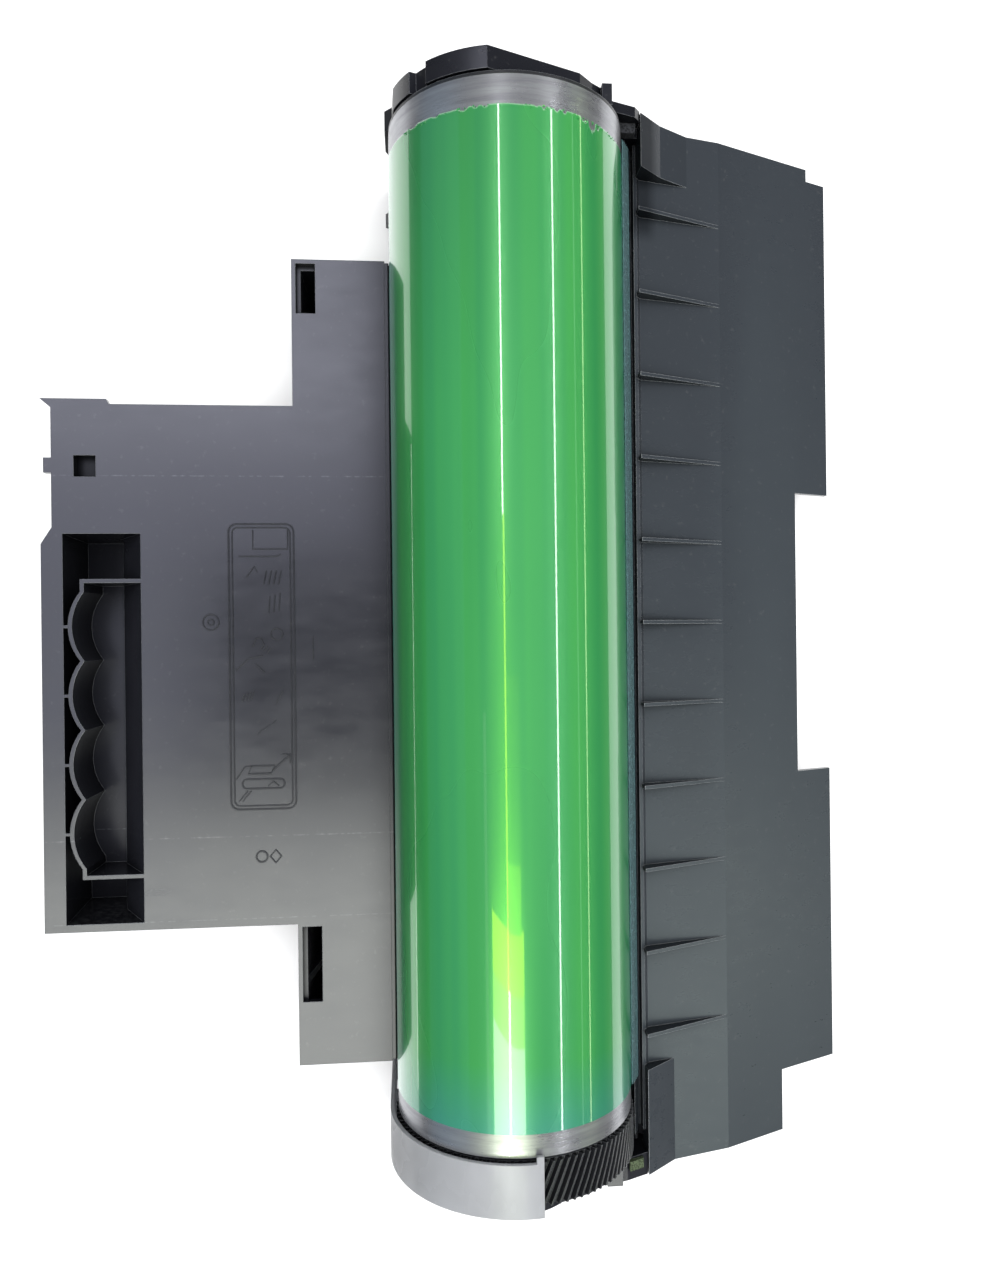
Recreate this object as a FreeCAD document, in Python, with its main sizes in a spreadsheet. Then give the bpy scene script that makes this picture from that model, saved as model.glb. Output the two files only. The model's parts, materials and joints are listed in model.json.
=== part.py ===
import FreeCAD, Part
import math
import os
import Sketcher
from FreeCAD import Placement, Rotation, Vector

# Printer drum unit: a green photoconductor drum on a fixed shaft, held between two end
# plates on a moulded frame, with a charge roller below it, a cleaning blade and a waste
# auger to its right under a sloping finned cover, and a handle cover to its left.
# Every piece is drawn from the middle of the drum tube: u is across, y along the drum
# and w up. The base of the frame is the ground plane.

doc = FreeCAD.newDocument("DrumUnit")

# Driving dimensions, in millimetres and degrees

DIMENSIONS = {
    "axis_height": (42.0, "drum axis above the ground"),
    "drum_radius": (30.0, "outside of the green coating"),
    "coating": (0.15, "thickness of the coating"),
    "tube_wall": (1.5, "wall of the aluminium tube"),
    "tube_length": (247.0, "length of the tube"),
    "bare_rear": (6.7, "bare metal band at the rear end"),
    "bare_drive": (5.4, "bare metal band at the drive end"),
    "shaft_radius": (4.0, "steel drum shaft"),
    "shaft_reach": (7.0, "shaft end beyond each end plate"),
    "journal_radius": (3.5, "turned-down ends of the drum shaft"),
    "groove_radius": (3.2, "bottom of the shaft's ring grooves"),
    "ring_radius": (7.0, "outside of the retaining rings"),
    "ring_thick": (1.0, "thickness of the retaining rings"),
    "running": (0.05, "radial clearance of a turning fit"),
    "clearance": (0.3, "clearance between pieces that pass each other"),
    "wall": (2.0, "wall of the frame moulding"),
    "rear_gap": (1.3, "from the tube to the rear end plate"),
    "rear_thick": (5.2, "rear end plate"),
    "drive_gap": (16.0, "from the tube to the drive end plate"),
    "drive_thick": (5.7, "drive end plate"),
    "cap_radius": (30.2, "round top of the rear end plate"),
    "cap_notch": (28.5, "bottom of the notch in that round top"),
    "hub_radius": (15.3, "round top of the drive end plate"),
    "gear_width": (10.0, "helical drum gear"),
    "gear_tip": (30.4, "tip radius of the helical drum gear"),
    "gear_teeth": (99, "teeth of the helical drum gear"),
    "gear_depth": (1.25, "tooth depth of the helical drum gear"),
    "gear_helix": (24.0, "helix angle of the drum gear"),
    "gear_offset": (1.0, "from the tube to the helical gear"),
    "spur_module": (1.0, "module of the three spur gears"),
    "spur_width": (3.6, "width of the three spur gears"),
    "spur_teeth": (40, "small spur gear on the drum flange"),
    "idler_teeth": (20, "idler gear"),
    "auger_teeth": (28, "auger gear"),
    "train_slope": (26.6, "slope of the line from drum to auger"),
    "pin_radius": (3.0, "idler pin"),
    "auger_radius": (7.0, "flight of the auger"),
    "auger_core": (2.5, "shaft of the auger"),
    "auger_pitch": (20.0, "pitch of the flight"),
    "bush_radius": (4.2, "outside of the auger bushes"),
    "bush_length": (3.0, "length of the auger bushes"),
    "guard_radius": (31.9, "outside of the gear guard"),
    "guard_wall": (1.0, "wall of the gear guard"),
    "guard_width": (12.2, "width of the gear guard"),
    "guard_offset": (0.5, "from the tube to the gear guard"),
    "guard_end": (84.0, "direction of the free edge of the guard"),
    "guard_lip": (3.0, "depth of the guard's end lip"),
    "guard_hook": (1.6, "hook at the guard's free edge"),
    "charge_tilt": (35.0, "charge roller to the left of straight down"),
    "charge_radius": (6.0, "charge roller"),
    "charge_core": (3.0, "steel core of the charge roller"),
    "charge_margin": (9.5, "tube beyond the charge roller's rubber at each end"),
    "bearing_width": (4.0, "charge bearing along the drum"),
    "bearing_half": (4.5, "half of the charge bearing across"),
    "spring_radius": (1.8, "charge spring, middle of the wire"),
    "spring_wire": (0.3, "radius of the spring wire"),
    "spring_length": (4.7, "charge spring at rest"),
    "frame_right": (78.0, "right side of the frame"),
    "frame_left": (30.0, "left side of the frame at its ends"),
    "wing_left": (55.0, "left side of the frame's wing"),
    "wing_rear": (93.0, "rear end of the wing"),
    "wing_drive": (114.4, "drive end of the wing"),
    "plate_top": (4.0, "handle cover's top below the drum axis"),
    "plate_thick": (2.0, "top of the handle cover"),
    "plate_near": (31.3, "edge of the handle cover beside the drum"),
    "plate_tab": (55.2, "left edge of the end tabs"),
    "tab_rear": (93.25, "rear end of the tabs"),
    "tab_drive": (114.65, "drive end of the tabs"),
    "handle_left": (118.0, "outer edge of the handle"),
    "handle_step": (2.7, "step of the outer edge near the rear"),
    "handle_rear": (55.35, "rear end of the handle"),
    "handle_drive": (78.25, "drive end of the handle"),
    "skirt_depth": (9.0, "edge wall below the handle cover's top"),
    "skirt_wall": (1.5, "edge wall of the handle cover"),
    "mouth_left": (112.7, "left edge of the finger pocket"),
    "mouth_right": (93.6, "right edge of the finger pocket"),
    "mouth_rear": (22.5, "rear end of the finger pocket"),
    "mouth_drive": (76.3, "drive end of the finger pocket"),
    "pocket_depth": (26.0, "depth of the finger pocket"),
    "pocket_lean": (2.2, "outward lean of the pocket's left wall"),
    "pocket_wall": (1.4, "walls of the finger pocket"),
    "cup_depth": (15.0, "depth of the scalloped cup"),
    "cup_wall": (1.0, "scalloped wall"),
    "cup_rear": (10.5, "rear end of the scalloped cup"),
    "cup_drive": (64.5, "drive end of the scalloped cup"),
    "cup_cusp": (108.1, "scalloped wall at its cusps"),
    "scallop_depth": (3.0, "depth of one scallop"),
    "scallop_pitch": (17.5, "pitch of the four scallops"),
    "scallop_first": (1.0, "middle of the first scallop"),
    "slot_width": (5.0, "width of the slots in the tabs"),
    "slot_rim": (1.1, "rim between slot and edge"),
    "rear_slot": (12.85, "length of the rear slot"),
    "drive_slot": (19.4, "length of the drive slot"),
    "drive_slot_end": (98.4, "drive end of the drive slot"),
    "window": (5.4, "square hole in the handle"),
    "window_left": (109.8, "left edge of the square hole"),
    "window_low": (36.9, "drive-side edge of the square hole"),
    "cover_left": (34.8, "near edge of the finned cover"),
    "cover_right": (96.5, "far edge of the finned cover"),
    "cover_notch": (84.8, "far edge inside the notch"),
    "cover_step": (90.0, "rear step of the far edge"),
    "cover_near": (-2.5, "finned cover beside the drum"),
    "cover_knee": (59.6, "end of the fins"),
    "knee_level": (-8.5, "finned cover at the end of the fins"),
    "far_level": (-24.2, "finned cover at its far edge"),
    "cover_thick": (2.0, "finned cover"),
    "cover_setback_rear": (3.4, "far edge short of the cover's rear end"),
    "cover_setback_drive": (16.95, "far edge short of the cover's drive end"),
    "notch_rear": (35.6, "rear end of the notch in the far edge"),
    "notch_drive": (44.2, "drive end of the notch in the far edge"),
    "fin_top": (2.0, "top of the fins beside the drum"),
    "fin_thick": (0.9, "thickness of a fin"),
    "fin_pitch": (21.57, "pitch of the fins"),
    "fin_first": (106.6, "rearmost fin"),
    "fin_count": (11, "number of fins"),
    "wedge_end": (43.5, "end of the raised ends of the cover"),
    "wedge_rear": (116.0, "start of the raised rear end"),
    "wedge_drive": (118.0, "start of the raised drive end"),
    "lip_wall": (1.4, "near edge wall of the cover"),
    "lip_bottom": (-6.0, "bottom of the film channel"),
    "film_thick": (0.2, "recovery film"),
    "film_width": (5.2, "recovery film across"),
    "film_slope": (60.5, "slope of the recovery film"),
    "film_level": (3.0, "upper edge of the film"),
    "blade_thick": (1.8, "cleaning blade"),
    "blade_height": (11.0, "cleaning blade, root to edge"),
    "blade_level": (-10.9, "working edge of the blade"),
    "bracket_thick": (1.2, "steel of the blade bracket"),
    "bracket_level": (-27.0, "underside of the blade bracket's foot"),
    "bracket_right": (40.5, "right edge of the blade bracket"),
    "partition": (34.0, "left face of the frame's partition"),
    "boss_radius": (3.4, "screw bosses"),
    "boss_length": (4.6, "screw bosses of the end plates"),
    "boss_level": (-36.9, "screw bosses of the end plates"),
    "plate_screw_left": (20.0, "left row of end plate screws"),
    "plate_screw_middle": (8.0, "middle row of end plate screws"),
    "plate_screw_right": (70.0, "right row of end plate screws"),
    "exposure_near": (3.0, "right edge of the exposure slot inside the wing"),
    "exposure_far": (11.0, "left edge of the exposure slot inside the wing"),
    "exposure_end": (4.0, "ends of the exposure slot inside the wing"),
    "outlet_width": (10.0, "width of the waste outlet"),
    "outlet_length": (12.0, "length of the waste outlet"),
    "outlet_offset": (6.0, "from the tube's drive end to the waste outlet"),
    "post_left": (22.4, "left side of the rear post"),
    "post_right": (24.9, "right side of the rear post"),
    "post_top": (16.5, "top of the rear post"),
    "post_root": (3.0, "foot of the rear post"),
    "shelf_level": (1.5, "shelf beside the rear post"),
    "corner_thick": (2.6, "thickness of the corner wall behind the shelf"),
    "corner_high": (9.6, "corner wall at its bevel's start"),
    "corner_mid": (6.7, "corner wall at its bevel's end"),
    "corner_low": (4.6, "corner wall beside the cover"),
    "corner_bevel": (32.9, "end of the corner wall's bevel"),
    "cap_apex": (6.7, "ridge of the round top, left of the drum axis"),
    "cap_near": (16.3, "end of the round top's right slope"),
    "cap_near_level": (20.1, "level of that end"),
    "cap_far": (20.0, "end of the short bevel"),
    "cap_far_level": (16.3, "level of that end"),
    "cap_post_level": (14.5, "where the round top meets the post"),
    "cap_turn": (43.0, "angle of the round top's step to its notch"),
    "cap_notch_turn": (54.0, "angle of the notch's end"),
    "cap_end": (70.0, "angle of the round top's end"),
    "cap_slant": (1.0, "angle that each side of the notch takes"),
    "lug_left": (30.8, "left side of the rear end plate's lug"),
    "lug_neck": (28.9, "neck above that lug"),
    "lug_level": (2.0, "top of that lug's slope"),
    "lug_drop": (10.0, "foot of the left lug"),
    "lug_foot": (12.0, "end of the slope below the left lug"),
    "panel_depth": (2.2, "shallow panels of the end plates"),
    "panel_low": (31.0, "lower edge of the left panels"),
    "panel_high": (9.0, "upper edge of the left panels"),
    "panel_deep": (40.0, "lower edge of the right panels"),
    "panel_3_high": (16.0, "upper edge of the third panel"),
    "panel_4_high": (20.0, "upper edge of the fourth panel"),
    "panel_1_left": (24.0, "left edge of the first panel"),
    "panel_1_right": (8.0, "right edge of the first panel"),
    "panel_2_left": (5.0, "left edge of the second panel"),
    "panel_2_right": (20.0, "right edge of the second panel"),
    "panel_3_left": (23.0, "left edge of the third panel"),
    "panel_3_right": (42.0, "right edge of the third panel"),
    "panel_4_left": (56.0, "left edge of the fourth panel"),
    "panel_4_right": (64.0, "right edge of the fourth panel"),
    "hub_meet": (10.3, "where the drive hub meets its slope"),
    "slope_foot": (17.9, "lower end of the drive hub's slope"),
    "slope_level": (8.4, "level of that end"),
    "catch_start": (21.3, "bevel before the catch"),
    "catch_start_level": (5.7, "level of that bevel"),
    "catch_left": (23.0, "left side of the catch"),
    "catch_right": (27.0, "right side of the catch"),
    "catch_foot": (5.0, "foot of the catch on its left"),
    "catch_top": (6.0, "top of the catch"),
    "catch_root": (4.2, "foot of the catch on its right"),
    "ledge_start": (28.7, "start of the ledge beside the catch"),
    "ledge_level": (3.8, "level of the ledge's start"),
    "ledge_end": (1.3, "level of the ledge beside the cover"),
    "handle_step_high": (24.1, "rear end of the outer edge's step"),
    "handle_step_low": (19.9, "drive end of the outer edge's step"),
    "rear_lip": (1.3, "lip on the handle's rear edge"),
    "rear_lip_near": (101.0, "right end of that lip"),
    "rear_lip_slant": (0.7, "slant of that end"),
    "rear_lip_foot": (1.0, "step of the outer edge below the rear edge"),
    "nub_low": (37.9, "drive-side face of the side nub"),
    "nub_high": (41.7, "rear face of the side nub"),
    "nub_reach": (1.9, "reach of the side nub"),
    "pocket_foot": (11.8, "right edge of the pocket's floor inside its mouth"),
    "pocket_knee": (7.9, "knee of the pocket's right wall inside its mouth"),
    "wedge_top": (4.9, "top of the raised rear end beside the drum"),
    "wedge_mid": (6.7, "bend of the raised rear end from the near edge"),
    "wedge_mid_level": (-1.2, "level of that bend"),
    "wedge_rear_end": (50.0, "end of the raised rear end"),
    "flange_plug": (12.0, "plugs of the flanges in the tube"),
    "flange_rim": (0.8, "rim of the rear flange"),
    "flange_web": (3.0, "wall of the flanges"),
    "flange_floor": (2.0, "floor of the drive flange's hollow"),
    "dish_depth": (8.0, "depth of the rear flange's hollow"),
    "guide_wall": (1.4, "walls of the charge roller's guides"),
    "guide_floor": (1.3, "floor of those guides"),
    "seat_gap": (0.5, "bearing block's foot above its lowest possible level"),
    "bearing_gap": (1.0, "from the charge roller's rubber to its bearings"),
    "blade_screw_share": (0.4, "outer blade screws as a share of the tube's length"),
    "pilot_share": (1.5, "pilot holes of the blade screws in boss lengths"),
    "cover_drop": (2.2, "from the cover's top down to the walls below it"),
    "cover_fit": (2.4, "from the cover's top down to the end plates below it"),
    "lug_start": (8.0, "foot of the drive end plate's left side"),
    "rib_foot": (2.0, "low end of the ribs under the handle"),
    "rib_end": (1.0, "from the end tabs to those ribs"),
    "film_seat": (0.45, "share of the film that stands free"),
    "channel_lap": (0.6, "channel's reach in front of the cover's near edge"),
    "channel_rise": (0.9, "channel's top above that edge"),
    "channel_step": (0.3, "channel's top behind that edge"),
    "channel_foot": (0.5, "channel's back below that edge"),
    "channel_fit": (0.1, "channel beyond the film's lower edge"),
    "lip_foot": (8.0, "lower end of the guard's lip above the floor"),
    "hook_turn": (3.0, "angle that the guard's hook takes"),
    "neck_drop": (1.0, "neck of the drive flange below the tube's surface"),
    "core_reach": (1.0, "charge roller's core beyond its bearings"),
    "mouth_share": (1.7, "opening of the retaining rings in groove radii"),
    "bearing_cap": (0.6, "top of the bearing blocks above the core's radius"),
    "flight_thick": (1.2, "thickness of the auger's flight"),
    "flight_root": (0.5, "depth of the flight's root in the auger's core"),
    "bracket_drop": (4.0, "lap of the bracket behind the blade"),
    "recess_width": (0.7, "width of the screws' slots"),
    "recess_depth": (0.6, "depth of the screws' slots"),
    "plate_screw_length": (6.0, "length of the end plate screws"),
    "leaf_width": (6.0, "width of the charge contact's leaf"),
    "leaf_height": (9.0, "height of that leaf"),
    "arm_width": (4.0, "width of the contact's arm"),
    "arm_level": (4.6, "level of the arm above the roller's middle"),
    "tip_foot": (2.0, "foot of the contact's tip below the roller's middle"),
    "earth_thick": (0.4, "thickness of the earth plate"),
    "pad_height": (2.4, "height of the foam pads"),
    "pad_margin": (0.5, "free edge round the foam pads"),
    "board_low": (60.0, "drive end of the memory chip's board"),
    "board_high": (74.0, "rear end of the memory chip's board"),
    "board_base": (6.0, "board above the underside"),
    "board_height": (9.0, "height of the board"),
    "board_thick": (1.0, "thickness of the board"),
    "screw_radius": (1.5, "screw shank"),
    "head_radius": (2.8, "screw head"),
    "head_height": (2.0, "screw head"),
    "sink": (2.4, "counterbore of the end plate screws"),
}

sheet = doc.addObject("Spreadsheet::Sheet", "Sizes")
for row, (alias, (number, meaning)) in enumerate(DIMENSIONS.items(), start=1):
    sheet.set(f"A{row}", meaning)
    sheet.set(f"B{row}", str(number))
    sheet.setAlias(f"B{row}", alias)
doc.recompute()


class Size:
    """A number together with the sheet formula that it comes from."""

    def __init__(self, number, formula=None):
        self.number = number
        self.formula = formula or repr(number)

    def joined(self, sign, number, other):
        return Size(number, f"({self.formula} {sign} {other.formula})")

    def __add__(self, other):
        other = as_size(other)
        return self.joined("+", self.number + other.number, other)

    def __sub__(self, other):
        other = as_size(other)
        return self.joined("-", self.number - other.number, other)

    def __mul__(self, other):
        other = as_size(other)
        return self.joined("*", self.number * other.number, other)

    def __truediv__(self, other):
        other = as_size(other)
        return self.joined("/", self.number / other.number, other)

    def __radd__(self, other):
        return as_size(other) + self

    def __rsub__(self, other):
        return as_size(other) - self

    def __rmul__(self, other):
        return as_size(other) * self

    def __neg__(self):
        return Size(-self.number, f"(0 - {self.formula})")


def as_size(value):
    return value if isinstance(value, Size) else Size(value)


def cosine(angle):
    return Size(math.cos(math.radians(angle.number)), f"cos({angle.formula})")


def sine(angle):
    return Size(math.sin(math.radians(angle.number)), f"sin({angle.formula})")


def root(value):
    return Size(math.sqrt(value.number), f"sqrt({value.formula})")


class Sizes:
    """The sheet's cells, as sizes."""


for alias in DIMENSIONS:
    setattr(Sizes, alias, Size(float(sheet.get(alias)), f"Sizes.{alias}"))
S = Sizes

# Sizes that follow from the driving ones

ORIGIN = Size(0.0)
TUBE_RADIUS = S.drum_radius - S.coating
TUBE_BORE = TUBE_RADIUS - S.tube_wall
TUBE_REAR = S.tube_length / 2
TUBE_DRIVE = -TUBE_REAR
REAR_INNER = TUBE_REAR + S.rear_gap
REAR_OUTER = REAR_INNER + S.rear_thick
DRIVE_INNER = TUBE_DRIVE - S.drive_gap
DRIVE_OUTER = DRIVE_INNER - S.drive_thick
SHAFT_REAR = REAR_OUTER + S.shaft_reach
SHAFT_DRIVE = DRIVE_OUTER - S.shaft_reach
BASE = -S.axis_height
FLOOR = BASE + S.wall
COVER_SLOPE = (S.knee_level - S.far_level) / (S.cover_right - S.cover_knee)
GUARD_REAR = TUBE_DRIVE - S.guard_offset
GUARD_DRIVE = GUARD_REAR - S.guard_width
SPUR_REAR = DRIVE_INNER + S.clearance * 2 + S.spur_width
SPUR_DRIVE = DRIVE_INNER + S.clearance * 2
IDLER_REACH = S.spur_module * (S.spur_teeth + S.idler_teeth) / 2
AUGER_REACH = IDLER_REACH + S.spur_module * (S.idler_teeth + S.auger_teeth) / 2
IDLER_U = IDLER_REACH * cosine(S.train_slope)
IDLER_W = -(IDLER_REACH * sine(S.train_slope))
AUGER_U = AUGER_REACH * cosine(S.train_slope)
AUGER_W = -(AUGER_REACH * sine(S.train_slope))
CHARGE_REACH = S.drum_radius + S.charge_radius + S.clearance
PLATE_UNDER = -S.plate_top - S.plate_thick

# The drum axis stands so that the origin is under the middle of the whole unit.
HOME = (
    (S.handle_left - S.cover_right) / 2,
    -(SHAFT_REAR + SHAFT_DRIVE) / 2,
    S.axis_height,
)


def cover_top(across):
    """Level of the finned cover's plain surface right of the fins."""
    return S.knee_level - (across - S.cover_knee) * COVER_SLOPE


# Helpers that draw one sub-part

PIECES = []


def bind(item, prop, size):
    item.setExpression(prop, as_size(size).formula)


def settle(item, spot=(ORIGIN, ORIGIN, ORIGIN), turn=None):
    """Place a sub-part at a spot measured from the middle of the drum tube."""
    place = [home + step for home, step in zip(HOME, spot)]
    item.Placement = Placement(Vector(*(p.number for p in place)), turn or Rotation())
    for axis, size in zip("xyz", place):
        bind(item, f"Placement.Base.{axis}", size)
    return item


def new_body(label, whole=True):
    """A body; one that is only a step of a larger piece is not whole."""
    body = doc.addObject("PartDesign::Body", label)
    body.Label = label
    settle(body)
    if whole:
        PIECES.append(body)
    return body


def origin_feature(body, role):
    return next(f for f in body.Origin.OriginFeatures if f.Role == role)


class Corner:
    """A corner of an outline; bow is the radius of an arc to the next corner."""

    def __init__(self, across, up, bow=None, clockwise=False):
        self.across = as_size(across)
        self.up = as_size(up)
        self.bow = bow
        self.clockwise = clockwise


def arc_centre(first, last, radius):
    """Centre of the short arc that turns left from the first point to the last."""
    half = (last - first) * 0.5
    rise = math.sqrt(max(radius ** 2 - half.Length ** 2, 0.0))
    side = Vector(-half.y, half.x, 0).normalize()
    return first + half + side * rise


class Ring:
    """A full circle in a sketch."""

    def __init__(self, across, up, radius):
        self.across = as_size(across)
        self.up = as_size(up)
        self.radius = as_size(radius)


def hold(sketch, kind, spot, size):
    """Add one constraint and tie it to the sheet."""
    index = sketch.addConstraint(Sketcher.Constraint(kind, *spot, size.number))
    sketch.setExpression(f"Constraints[{index}]", size.formula)


def draw_ring(sketch, ring):
    centre = Vector(ring.across.number, ring.up.number, 0)
    circle = Part.Circle(centre, Vector(0, 0, 1), ring.radius.number)
    edge = sketch.addGeometry(circle, False)
    hold(sketch, "DistanceX", (-1, 1, edge, 3), ring.across)
    hold(sketch, "DistanceY", (-1, 1, edge, 3), ring.up)
    hold(sketch, "Radius", (edge,), ring.radius)


def draw_outline(sketch, corners):
    points = [Vector(c.across.number, c.up.number, 0) for c in corners]
    ends = []
    for here, corner in enumerate(corners):
        first = points[here]
        last = points[(here + 1) % len(points)]
        if corner.bow is None:
            edge = sketch.addGeometry(Part.LineSegment(first, last), False)
            ends.append((edge, 1, 2))
            continue
        if corner.clockwise:
            first, last = last, first
        centre = arc_centre(first, last, corner.bow.number)
        circle = Part.Circle(centre, Vector(0, 0, 1), corner.bow.number)
        angles = [math.atan2(p.y - centre.y, p.x - centre.x) for p in (first, last)]
        edge = sketch.addGeometry(Part.ArcOfCircle(circle, *angles), False)
        ends.append((edge, 2, 1) if corner.clockwise else (edge, 1, 2))
        hold(sketch, "Radius", (edge,), corner.bow)
    for here, (edge, start, end) in enumerate(ends):
        following = ends[(here + 1) % len(ends)]
        sketch.addConstraint(
            Sketcher.Constraint("Coincident", edge, end, following[0], following[1])
        )
        hold(sketch, "DistanceX", (-1, 1, edge, start), corners[here].across)
        hold(sketch, "DistanceY", (-1, 1, edge, start), corners[here].up)


def new_sketch(body, name, plane, shift, loops, turn=None):
    """A sketch on an origin plane of the body, moved along the plane's normal."""
    sketch = body.newObject("Sketcher::SketchObject", name)
    sketch.AttachmentSupport = (origin_feature(body, plane), [""])
    sketch.MapMode = "FlatFace"
    spin = Rotation(Vector(0, 0, 1), turn.number) if turn else Rotation()
    sketch.AttachmentOffset = Placement(Vector(0, 0, shift.number), spin)
    bind(sketch, "AttachmentOffset.Base.z", shift)
    for loop in loops:
        if isinstance(loop, Ring):
            draw_ring(sketch, loop)
        else:
            draw_outline(sketch, loop)
    return sketch


def pad(body, name, plane, loops, low, high, turn=None):
    """Grow the body between two levels of the plane's axis."""
    low, high = as_size(low), as_size(high)
    shift = -high if plane == "XZ_Plane" else low
    sketch = new_sketch(body, name + "_sketch", plane, shift, loops, turn)
    feature = body.newObject("PartDesign::Pad", name)
    feature.Profile = sketch
    bind(feature, "Length", high - low)
    return feature


def cut(body, name, plane, loops, low, high, turn=None):
    """Remove from the body between two levels of the plane's axis."""
    low, high = as_size(low), as_size(high)
    shift = -low if plane == "XZ_Plane" else high
    sketch = new_sketch(body, name + "_sketch", plane, shift, loops, turn)
    feature = body.newObject("PartDesign::Pocket", name)
    feature.Profile = sketch
    bind(feature, "Length", high - low)
    return feature


def corners(*pairs):
    return [Corner(across, up) for across, up in pairs]


def rectangle(left, right, low, high):
    return corners((left, low), (right, low), (right, high), (left, high))


def coded(label, shape, spot=(ORIGIN, ORIGIN, ORIGIN), turn=None):
    """A sub-part whose shape is worked out by code, drawn about the drum axis."""
    piece = doc.addObject("Part::Feature", label)
    piece.Label = label
    piece.Shape = shape
    settle(piece, spot, turn)
    PIECES.append(piece)
    return piece


def rod(name, radius, low, high, across=ORIGIN, up=ORIGIN):
    """A cylinder along the drum, as a primitive bound to the sheet."""
    piece = doc.addObject("Part::Cylinder", name)
    bind(piece, "Radius", radius)
    bind(piece, "Height", as_size(high) - low)
    along = Rotation(Vector(1, 0, 0), -90)
    return settle(piece, (as_size(across), as_size(low), as_size(up)), along)


def sleeve(label, outer, inner, low, high, across=ORIGIN, up=ORIGIN):
    """A tube along the drum: one cylinder less another."""
    piece = doc.addObject("Part::Cut", label)
    piece.Label = label
    piece.Base = rod(label + "_outside", outer, low, high, across, up)
    piece.Tool = rod(label + "_bore", inner, low, high, across, up)
    PIECES.append(piece)
    return piece


def barrel(radius, low, high, across=0.0, up=0.0):
    """A cylinder along the drum, as a plain shape for the coded pieces."""
    return Part.makeCylinder(radius, high - low, Vector(across, low, up), Vector(0, 1, 0))


# Main frame

frame = new_body("main_frame")
pad(frame, "floor", "XY_Plane", [corners(
    (S.frame_right, REAR_INNER),
    (-S.frame_left, REAR_INNER),
    (-S.frame_left, S.wing_rear),
    (-S.wing_left, S.wing_rear),
    (-S.wing_left, -S.wing_drive),
    (-S.frame_left, -S.wing_drive),
    (-S.frame_left, GUARD_REAR),
    (-S.guard_radius, GUARD_REAR),
    (-S.guard_radius, GUARD_DRIVE),
    (-S.frame_left, GUARD_DRIVE),
    (-S.frame_left, DRIVE_INNER),
    (S.frame_right, DRIVE_INNER),
)], BASE, FLOOR)
pad(frame, "left_wall", "XY_Plane", [corners(
    (-S.wing_left, S.wing_rear),
    (-S.wing_left, -S.wing_drive),
    (-S.wing_left + S.wall, -S.wing_drive),
    (-S.wing_left + S.wall, S.wing_rear),
)], FLOOR, PLATE_UNDER)
for side, low, high in (
    ("rear", S.wing_rear - S.wall, S.wing_rear),
    ("drive", -S.wing_drive, -S.wing_drive + S.wall),
):
    pad(frame, f"wing_{side}_wall", "XY_Plane", [rectangle(
        -S.wing_left + S.wall, -S.frame_left, low, high,
    )], FLOOR, PLATE_UNDER)
GUSSETS = 5
for count in range(GUSSETS):
    share = (count + 0.5) / GUSSETS
    along = S.wing_rear - (S.wing_rear + S.wing_drive) * share
    pad(frame, f"gusset_{count}", "XZ_Plane", [corners(
        (-S.wing_left + S.wall, FLOOR),
        (-S.wing_left + S.wall * 4, FLOOR),
        (-S.wing_left + S.wall, PLATE_UNDER),
    )], along - S.wall / 2, along + S.wall / 2)
RIGHT_TOP = cover_top(S.frame_right) - S.cover_drop
pad(frame, "right_wall", "XZ_Plane", [corners(
    (S.frame_right - S.wall, FLOOR),
    (S.frame_right, FLOOR),
    (S.frame_right, RIGHT_TOP),
    (S.frame_right - S.wall, RIGHT_TOP + COVER_SLOPE * S.wall),
)], DRIVE_INNER, REAR_INNER)
pad(frame, "partition_wall", "XZ_Plane", [rectangle(
    S.partition, S.partition + S.wall, FLOOR, S.bracket_level,
)], SPUR_REAR + S.wall, REAR_INNER)
BLADE_SCREWS = (-S.blade_screw_share.number, 0, S.blade_screw_share.number)
BLADE_SCREW_U = S.partition + S.boss_radius
for count, share in enumerate(BLADE_SCREWS):
    pad(frame, f"blade_boss_{count}", "XY_Plane", [
        Ring(BLADE_SCREW_U, S.tube_length * share, S.boss_radius),
    ], FLOOR, S.bracket_level)
for count, share in enumerate(BLADE_SCREWS):
    cut(frame, f"blade_pilot_{count}", "XY_Plane", [
        Ring(BLADE_SCREW_U, S.tube_length * share, S.screw_radius),
    ], S.bracket_level - S.boss_length * S.pilot_share.number, S.bracket_level)

# Guides of the charge roller's bearings, turned to point at the drum axis
GUIDE_INSIDE = S.bearing_half + S.running * 2
GUIDE_SEAT = -(CHARGE_REACH + S.bearing_half - S.seat_gap + S.spring_length)
GUIDE_TOP = -(CHARGE_REACH - S.charge_core)
CHARGE_HALF = S.tube_length / 2 - S.charge_margin
BEARING_NEAR = CHARGE_HALF + S.bearing_gap
BEARING_FAR = BEARING_NEAR + S.bearing_width
for side, low, high in (
    ("rear", BEARING_NEAR, BEARING_FAR),
    ("drive", -BEARING_FAR, -BEARING_NEAR),
):
    pad(frame, f"guide_{side}", "XZ_Plane", [corners(
        (-GUIDE_INSIDE - S.guide_wall, GUIDE_SEAT - S.guide_floor),
        (GUIDE_INSIDE + S.guide_wall, GUIDE_SEAT - S.guide_floor),
        (GUIDE_INSIDE + S.guide_wall, GUIDE_TOP),
        (GUIDE_INSIDE, GUIDE_TOP),
        (GUIDE_INSIDE, GUIDE_SEAT),
        (-GUIDE_INSIDE, GUIDE_SEAT),
        (-GUIDE_INSIDE, GUIDE_TOP),
        (-GUIDE_INSIDE - S.guide_wall, GUIDE_TOP),
    )], low, high, turn=-S.charge_tilt)
PLATE_SCREWS = (-S.plate_screw_left, S.plate_screw_middle, S.plate_screw_right)
BOSS_RINGS = [Ring(u, S.boss_level, S.boss_radius) for u in PLATE_SCREWS]
PILOT_RINGS = [Ring(u, S.boss_level, S.screw_radius) for u in PLATE_SCREWS]
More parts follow.
